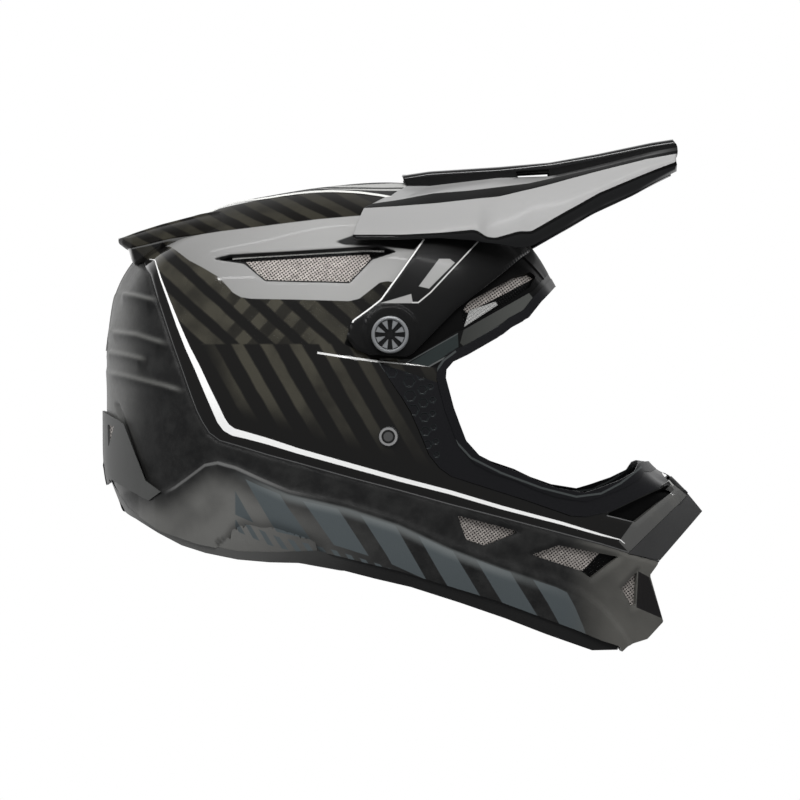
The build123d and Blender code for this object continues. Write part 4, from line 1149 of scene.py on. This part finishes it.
# ---------------------------------------------------------------- tail of the crown
TAIL_TOP = [(114.5, 237), (120, 234.2), (136, 229), (160, 222), (192, 214), (208, 209), (224, 204.4),
            (238, 201.4)]
TAIL_LOW = [(114.5, 238), (121, 243), (129, 247.5), (150, 243.5), (170, 239), (200, 235), (238, 230)]
TAIL_HALF = [(114.5, 0.014), (120, 0.030), (130, 0.043), (160, 0.057), (207, 0.067), (238, 0.071)]
TAIL_ROWS, TAIL_END, TAIL_CREASE, TAIL_BULGE, TAIL_DEEP = 90, 236, 0.62, 0.0030, 0.0090
TAIL_SINKS, TAIL_SINK_EASE = 214, 20


def tail_row(px):
    """The tail's half section at a place along, from the crown round its edge to underneath"""
    top = float(sz(np.interp(px, *np.array(TAIL_TOP).T)))
    low = float(sz(np.interp(px, *np.array(TAIL_LOW).T)))
    half = float(np.interp(px, *np.array(TAIL_HALF).T))
    x = float(sx(px))
    y, z = form_section(x)
    crease = TAIL_CREASE * half
    line = [(0, top), (0.5 * crease, top - 0.0002), (0.9 * crease, top - 0.0004), (crease, top - 0.0008),
            (crease + 0.0012, top - 0.0022)]
    for s in (0.25, 0.5, 0.75, 0.93):
        bulge = TAIL_BULGE * math.sin(math.pi * s)
        fall = 0.0008 + (top - low - 0.0008) * s
        line.append((crease + (half - crease) * s + bulge, top - fall + bulge * 0.5))
    line.append((half, low + 0.0004))
    # towards its root the upper side sinks into the form
    sunk = float(soft(px - TAIL_SINKS, TAIL_SINK_EASE))
    reach = float(np.interp(-low, -z, y))
    for k, (py, pz) in enumerate(line):
        ty = py * (reach / half) if reach > 0 else py
        tz = float(np.interp(ty, y, z)) - 0.0006
        line[k] = py * (1 - sunk) + ty * sunk, pz * (1 - sunk) + tz * sunk
    deep = TAIL_DEEP * float(soft(px - 129, 4))
    line += [(half - 0.0010, low - 0.0004), (half * 0.92, low - 0.001 - deep), (0, low - 0.002 - deep)]
    return [(x, py, pz) for py, pz in line]


def tail_lip():
    """The crown's tail: it grows out of the shell behind the crown and ends in a thin edge"""
    rows = np.array([tail_row(px) for px in np.linspace(TAIL_TOP[0][0], TAIL_END, TAIL_ROWS)])
    wide = rows.shape[1]
    verts = rows.reshape(-1, 3)
    tris = grid_tris(TAIL_ROWS, wide)
    a, b, c = verts[tris[0]]
    if np.cross(b - a, c - a)[2] < 0:
        tris = tris[:, ::-1]
    tris = np.vstack([tris, [(0, k, k + 1) for k in range(1, wide - 1)]])
    verts, _, tris = mirrored(verts, {}, tris)
    x, y, z = verts.T
    fields = {**shell_fields(x, z, y), "d_lower": np.full(len(verts), -0.05)}
    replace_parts(piece("tail_lip", verts, tris, MAT["shell"], slot="shell_gloss", data=fields), "outer_shell")


tail_lip()

# ---------------------------------------------------------------- visor
# Its edges from the middle outward: place along, place down and half width in millimetres
RAILS = {
    "spine_mid": [(403, 176, 0), (430, 172, 0), (500, 167.5, 0), (552, 163, 0), (600, 154.5, 0),
                  (655, 143, 0), (676, 139.5, 0)],
    "spine_edge": [(403, 176.2, 15), (430, 172.2, 15.5), (500, 167.7, 15.5), (552, 163.2, 15.5),
                   (600, 154.7, 16.5), (655, 143.2, 17.5), (677, 139.8, 17.5)],
    "spine_foot": [(404, 179, 16.5), (430, 176.5, 17), (500, 171.5, 17), (552, 168.5, 17), (600, 159.5, 18),
                   (655, 147.5, 19), (680, 143.5, 19)],
    "deck_in": [(408, 187, 21), (432, 187, 22), (500, 179, 22), (552, 177.5, 22), (600, 166.5, 22.5),
                (655, 152.5, 22.5), (681, 147, 21.5)],
    "deck_out": [(372, 208, 64), (400, 203.5, 57), (433, 197, 53), (470, 194, 51), (530, 186.5, 48),
                 (556, 180.5, 45), (600, 170.5, 40), (650, 158, 31), (680.5, 151.5, 25)],
    "panel_top": [(364, 212, 74.5), (400, 209.5, 67.5), (440, 206, 63.5), (500, 199, 59.5), (545, 188, 54.5),
                  (600, 173, 46), (650, 160, 35), (679.5, 154.5, 27)],
    "panel_foot": [(353, 240, 98.5), (400, 239.8, 94.5), (440, 237.5, 90.5), (474, 234, 88.5),
                   (484, 241, 87.5), (494, 242, 86), (518, 235, 82), (530, 235, 80), (570, 212, 71),
                   (600, 195, 62), (650, 173, 44), (677, 162, 35)],
    "lip": [(358, 242.6, 98.7), (400, 242.2, 94.8), (440, 241, 91), (474, 243, 88.6), (484, 245, 87.6),
            (494, 246, 86.2), (518, 250, 82), (530, 248, 80), (565, 228, 72), (600, 208, 62.5),
            (640, 190, 48.5), (676, 169, 33)],
}
# The look of each strip from one edge to the next
STRIPS = ["gloss", "gloss", "band", "deck", "band", "visor_panel", "gloss"]
EASE_KERNEL = np.array([1, 4, 6, 4, 1]) / 16
STRIP_EASE, PANEL_BULGE, PEAK_WALL = 0.0006, 0.0011, 0.0024
SLOT_START, SLOT_END = sx([517, 549])


def rail(name, count):
    """A visor edge resampled from back to front, in metres"""
    p = np.array(RAILS[name], float)
    xyz = np.stack([sx(p[:, 0]), p[:, 2] * MM, sz(p[:, 1])], 1)
    x = np.linspace(xyz[0, 0], xyz[-1, 0], count)
    out = np.stack([np.interp(x, xyz[:, 0], xyz[:, k]) for k in range(3)], 1)
    pad = np.vstack([2 * out[0] - out[2:0:-1], out, 2 * out[-1] - out[-2:-4:-1]])
    return np.stack([np.convolve(pad[:, k], EASE_KERNEL, "valid") for k in range(3)], 1)


def visor_peak(count=150):
    """The peak: strips between its edges, each edge eased by a narrow band of its own"""
    rails = [rail(k, count) for k in RAILS]
    rows, looks = [], []
    for p, q, look in zip(rails, rails[1:], STRIPS):
        d = q - p
        cut = np.minimum(STRIP_EASE / (np.linalg.norm(d, axis=1, keepdims=True) + 1e-9), 0.3)
        for s in (0.0, 0.25, 0.5, 0.75, 1.0) if look in ("visor_panel", "deck") else (0.0, 1.0):
            row = p + d * (cut + (1 - 2 * cut) * s)
            if look == "visor_panel":
                row = row + np.array([0, 0.55, 0.8]) * PANEL_BULGE * math.sin(math.pi * s)
            rows.append(row)
            looks.append(look)
    rows = np.array(rows)
    rows[0, :, 1] = 0
    verts = rows.reshape(-1, 3)
    faces, names = [], []
    for i in range(len(rows) - 1):
        for k in range(count - 1):
            if i in (4, 5) and SLOT_START < rows[i, k, 0] < SLOT_END:
                continue
            a = i * count + k
            faces.append((a, a + 1, a + 1 + count, a + count))
            names.append(looks[i] if looks[i] == looks[i + 1] else "band")
    faces += [tuple(j + len(verts) for j in f[::-1]) for f in faces]
    obj = piece("visor_peak", np.vstack([verts, verts * MIRROR]), faces, None, "visor", "visor_gloss")
    slots = ["gloss", "deck", "visor_panel", "band"]
    for s in slots:
        obj.data.materials.append(MAT[s])
    obj.data.polygons.foreach_set("material_index", np.array([slots.index(k) for k in names * 2], np.int32))
    obj.modifiers.new("join", "WELD").merge_threshold = 0.00002
    wall = obj.modifiers.new("wall", "SOLIDIFY")
    wall.thickness, wall.offset = PEAK_WALL, 1.0
    settled(obj)
    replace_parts(obj, "visor")


visor_peak()
REAR_EDGE = [(423, 242), (400, 275), (380, 303), (370, 311), (353, 323.5)]
ARM = side([(423, 242), (440, 205), (520, 200), (520, 237), (529, 253), (455, 311), (412, 355), (405, 359),
            (371, 357), (356, 352), (347, 340), *REAR_EDGE[:0:-1]])
REAR_EDGE = side(REAR_EDGE)
PANEL_FOOT = rail("panel_foot", 200)
ARM_STAND, ARM_WALL, BOSS_RADIUS = 0.0046, 0.0018, 0.0165


def arm_relief(x, z, f):
    """An edge that falls away and a raised boss round the pivot"""
    h = -0.0010 * soft(0.0004 - f["d_edge"], 0.0006)
    off_pivot = np.hypot(x - PIVOT[0], z - PIVOT[1])
    boss = np.maximum(h, 0.0008 * soft(BOSS_RADIUS - 0.0005 - off_pivot, 0.0006))
    return np.where(off_pivot < BOSS_RADIUS, boss, h)


def arm_fields(x, z, y):
    return {"d_edge": zone(ARM, x, z), "d_rear": seg_dist(REAR_EDGE, x, z, False)[0]}


keep = [
    lambda x, y, z: zone(ARM, x, z),
    lambda x, y, z: y - VENT_INNER,
    lambda x, y, z: np.interp(x, PANEL_FOOT[:, 0], PANEL_FOOT[:, 2]) + 0.0012 - z,
    ring_out(0.0032),
]
skin("visor_arms", keep, ARM_STAND, arm_relief, "arm", "visor_gloss", arm_fields, ARM_WALL, "visor", "visor")


# ---------------------------------------------------------------- screws and rivets
def lathe(profile, turns=72):
    """A turned form about the local Y axis: profile pairs are radius and height in millimetres"""
    angles = [2 * math.pi * k / turns for k in range(turns)]
    verts = [(r * MM * math.cos(a), h * MM, r * MM * math.sin(a)) for r, h in profile for a in angles]
    faces = []
    for i in range(len(profile) - 1):
        for k in range(turns):
            a, b = i * turns + k, i * turns + (k + 1) % turns
            faces.append((a, b, b + turns, a + turns))
    return verts, faces


def block(corners, low, high, ease):
    """A block over a polygon in the local X, Z plane from low to high, drawn in by ease at its top"""
    p = np.array(corners, float)
    top = p.mean(0) + (p - p.mean(0)) * (1 - ease)
    n = len(p)
    verts = [(x, low, z) for x, z in p] + [(x, high, z) for x, z in top]
    faces = [tuple(range(n, 2 * n))]
    for i in range(n):
        j = (i + 1) % n
        faces.append((i, j, j + n, i + n))
    return verts, faces


def joined(parts):
    verts, faces = [], []
    for v, f in parts:
        faces += [tuple(i + len(verts) for i in q) for q in f]
        verts += list(v)
    return verts, faces


def turned_piece(name, form, centre, seat, sign, look, closed=True, **more):
    """A local form put at a place of the side view, its height outward on one side"""
    verts, faces = form
    verts = [(centre[0] + x, sign * (seat + h), centre[1] + z) for x, h, z in verts]
    obj = piece(name, verts, faces, MAT[look], **more)
    if closed:
        bm = bmesh.new()
        bm.from_mesh(obj.data)
        bmesh.ops.recalc_face_normals(bm, faces=bm.faces)
        bm.to_mesh(obj.data)
        bm.free()
    return obj


# Turned profiles: radius and height in millimetres
KNOB_RING = [(8.9, 0.9), (8.9, 3.2), (9.3, 3.75), (9.9, 3.95), (10.6, 3.6), (11, 2.8), (11, 0.0)]
KNOB_FLOOR = [(0.0, 1.0), (8.95, 1.0)]
KNOB_HUB = [(0.0, 1.6), (2.2, 1.6), (2.5, 1.2), (2.5, 1.0)]
SHANK = [(2.95, 0.0), (2.95, -13.0), (0.0, -13.0)]
RIVET_CAP = [(0.0, 0.9), (1.6, 0.88), (1.9, 0.7), (2.2, 0.88), (3.9, 0.8), (4.2, 0.55), (4.6, 0.9),
             (4.9, 1.35), (5.5, 1.4), (6.1, 0.8), (6.1, -0.8)]
RIB = [(3.1, 0.25), (6.4, 1.25), (8.7, 1.9), (8.7, -1.9), (6.4, -1.25), (3.1, -0.25)]
RIB_COUNT, RIB_FOOT, RIB_TOP, RIB_EASE = 8, 1.0 * MM, 3.0 * MM, 0.14
KNOB_SET_IN, CAP_SET_IN = 4 * MM, 1.4 * MM


def knob_rib(k):
    """One of the ribs in the screw's head, wider towards its rim"""
    a = 2 * math.pi * (k + 0.5) / RIB_COUNT
    ca, sa = math.cos(a), math.sin(a)
    corners = [(MM * (r * ca - w * sa), MM * (r * sa + w * ca)) for r, w in RIB]
    return block(corners, RIB_FOOT, RIB_TOP, RIB_EASE)


for name, sign, end in (("right", -1, 0), ("left", 1, 1)):
    body = f"visor_screw_{name}"
    seat = abs(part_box(body)[end][1]) - KNOB_SET_IN
    knob = joined([lathe(KNOB_RING), *map(knob_rib, range(RIB_COUNT))])
    well = joined([lathe(KNOB_FLOOR), lathe(KNOB_HUB, 6)])
    shared = {"body": body, "slot": "screw_metal"}
    head = turned_piece(f"pivot_screw_{name}", knob, PIVOT, seat, sign, "alu", smooth=False, **shared)
    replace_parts(head, body)
    turned_piece(f"pivot_screw_well_{name}", well, PIVOT, seat, sign, "gloss", smooth=False, **shared)
    turned_piece(f"pivot_screw_shank_{name}", lathe(SHANK, 32), PIVOT, seat, sign, "alu", False, **shared)
    seat = abs(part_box(f"strap_rivet_{name}")[end][1]) - CAP_SET_IN
    turned_piece(f"rivet_head_{name}", lathe(RIVET_CAP), RIVET, seat, sign, "alu", slot="rivet_metal")


# ---------------------------------------------------------------- padding
def soft_copy(node, name, body, cell=0.004, rounds=6, seams=(), look="pad"):
    """A rounded fabric form over a plain padding solid"""
    obj = bpy.data.objects.new(name, NODES[node].data.copy())
    bpy.context.scene.collection.objects.link(obj)
    cells = obj.modifiers.new("cells", "REMESH")
    cells.mode, cells.voxel_size = "VOXEL", cell
    smooth = obj.modifiers.new("round", "SMOOTH")
    smooth.factor, smooth.iterations = 0.6, rounds
    made = settled(obj)
    made.materials.clear()
    made.materials.append(MAT[look])
    made.polygons.foreach_set("use_smooth", np.ones(len(made.polygons), bool))
    v, n = np.zeros((2, len(made.vertices) * 3), np.float32)
    made.vertices.foreach_get("co", v)
    made.vertices.foreach_get("normal", n)
    v, n = v.reshape(-1, 3).astype(float), n.reshape(-1, 3)
    sunk = sum(depth * bell(field(*v.T), wide) for field, depth, wide in seams)
    if seams:
        v -= n * sunk[:, None]
    made.vertices.foreach_set("co", v.astype(np.float32).ravel())
    made.update()
    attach(obj, body)
    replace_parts(obj, node)


for k in ("right", "left"):
    soft_copy(f"cheek_pad_{k}", f"cheek_cushion_{k}", f"cheek_pad_{k}", seams=(
        (lambda x, y, z: x + 0.035 + 0.1 * (z - 0.1), 0.0022, 0.0022),
        (lambda x, y, z: z - 0.118 - 0.15 * x, 0.0018, 0.0020),
    ))
    soft_copy(f"strap_{k}", f"strap_webbing_{k}", "chin_strap", 0.0010, 1, (), "webbing")
soft_copy("mouth_filter", "mouth_foam", "helmet", 0.0014, 2, (), "filter")
soft_copy("neck_roll", "neck_cushion", "helmet", seams=((lambda x, y, z: z - 0.084, 0.0018, 0.002),))
soft_copy("crown_pad", "crown_comfort_pad", "crown_pad", 0.003, 3, seams=(
    (lambda x, y, z: np.abs(y) - 0.020, 0.0010, 0.0015),
    (lambda x, y, z: x + 0.044, 0.0010, 0.0015),
))

# ---------------------------------------------------------------- stage, lights and camera
scene = bpy.context.scene
scene.view_settings.view_transform = "Standard"
world = bpy.data.worlds.new("studio")
scene.world = world
world.use_nodes = True
tree = world.node_tree
tree.nodes.clear()


def world_node(kind, inputs=(), **props):
    """A node of the world, its inputs linked or set"""
    node = tree.nodes.new(kind)
    for k, v in props.items():
        setattr(node, k, v)
    for k, v in inputs:
        if isinstance(v, bpy.types.NodeSocket):
            tree.links.new(v, node.inputs[k])
        else:
            node.inputs[k].default_value = v
    return node.outputs


def world_math(kind, a, b):
    return world_node("ShaderNodeMath", ((0, a), (1, b)), operation=kind)[0]


# the white backdrop stands behind the helmet, so mirrored rays see it only where they run that way
path = world_node("ShaderNodeLightPath")
white = world_node("ShaderNodeBackground", ((0, (1, 1, 1, 1)), (1, 1.0)))[0]
dim = world_node("ShaderNodeBackground", ((0, (0.80, 0.82, 0.85, 1)), (1, 0.16)))[0]
way = world_node("ShaderNodeSeparateXYZ", ((0, world_node("ShaderNodeTexCoord")["Generated"]),))[1]
behind = world_node("ShaderNodeMapRange", (("Value", way), ("From Min", 0.25), ("From Max", 0.75)))[0]
mirrored_ray = world_math("MULTIPLY", path["Is Glossy Ray"], behind)
straight = world_math("MAXIMUM", path["Is Camera Ray"], path["Is Transmission Ray"])
sees_white = world_math("MAXIMUM", mirrored_ray, straight)
both = world_node("ShaderNodeMixShader", ((0, sees_white), (1, dim), (2, white)))[0]
world_node("ShaderNodeOutputWorld", ((0, both),))


def turn_to(obj, place, towards):
    """Puts a lamp or camera at a place, facing along a direction"""
    obj.location = place
    obj.rotation_mode = "QUATERNION"
    obj.rotation_quaternion = towards.to_track_quat("-Z", "Y")
    scene.collection.objects.link(obj)


# Soft boxes: place, target, size, power and whether mirrored rays see them
for name, place, target, size, power, mirrored_too in (
    ("key_softbox", (0.05, -1.10, 1.25), (0.0, -0.05, 0.17), (1.5, 0.5), 22, False),
    ("top_fill", (0.0, -0.15, 1.5), (0.0, -0.05, 0.2), (1.4, 0.5), 6, False),
    ("top_strip", (0.0, -0.12, 1.5), (0.0, -0.05, 0.2), (1.4, 0.05), 2, True),
    ("edge_strip", (0.0, -0.75, 1.25), (0.0, -0.05, 0.17), (1.5, 0.04), 3, True),
    ("rear_strip", (-1.2, -0.35, 0.35), (-0.1, -0.05, 0.15), (0.25, 0.9), 6, False),
    ("front_fill", (1.3, -0.8, 0.3), (0.1, -0.05, 0.12), (0.5, 0.8), 3, False),
    ("low_fill", (0.1, -1.2, -0.25), (0.0, -0.1, 0.1), (1.2, 0.3), 3.5, False),
):
    data = bpy.data.lights.new(name, "AREA")
    data.shape, data.size, data.size_y, data.energy = "RECTANGLE", *size, power
    lamp = bpy.data.objects.new(name, data)
    turn_to(lamp, place, Vector(target) - Vector(place))
    lamp.visible_camera, lamp.visible_glossy = False, mirrored_too

IMAGE = 800
cam_data = bpy.data.cameras.new("camera")
cam_data.lens, cam_data.sensor_width, cam_data.clip_end = 250, 36, 20
cam = bpy.data.objects.new("camera", cam_data)
depth = IMAGE * LENGTH / STEPS_LONG * cam_data.lens / cam_data.sensor_width
centre_px = IMAGE / 2
turn_to(cam, (float(sx(centre_px)), -depth - 0.06, float(sz(centre_px))), Vector((0, 1, 0)))
scene.camera = cam
scene.render.resolution_x = scene.render.resolution_y = IMAGE
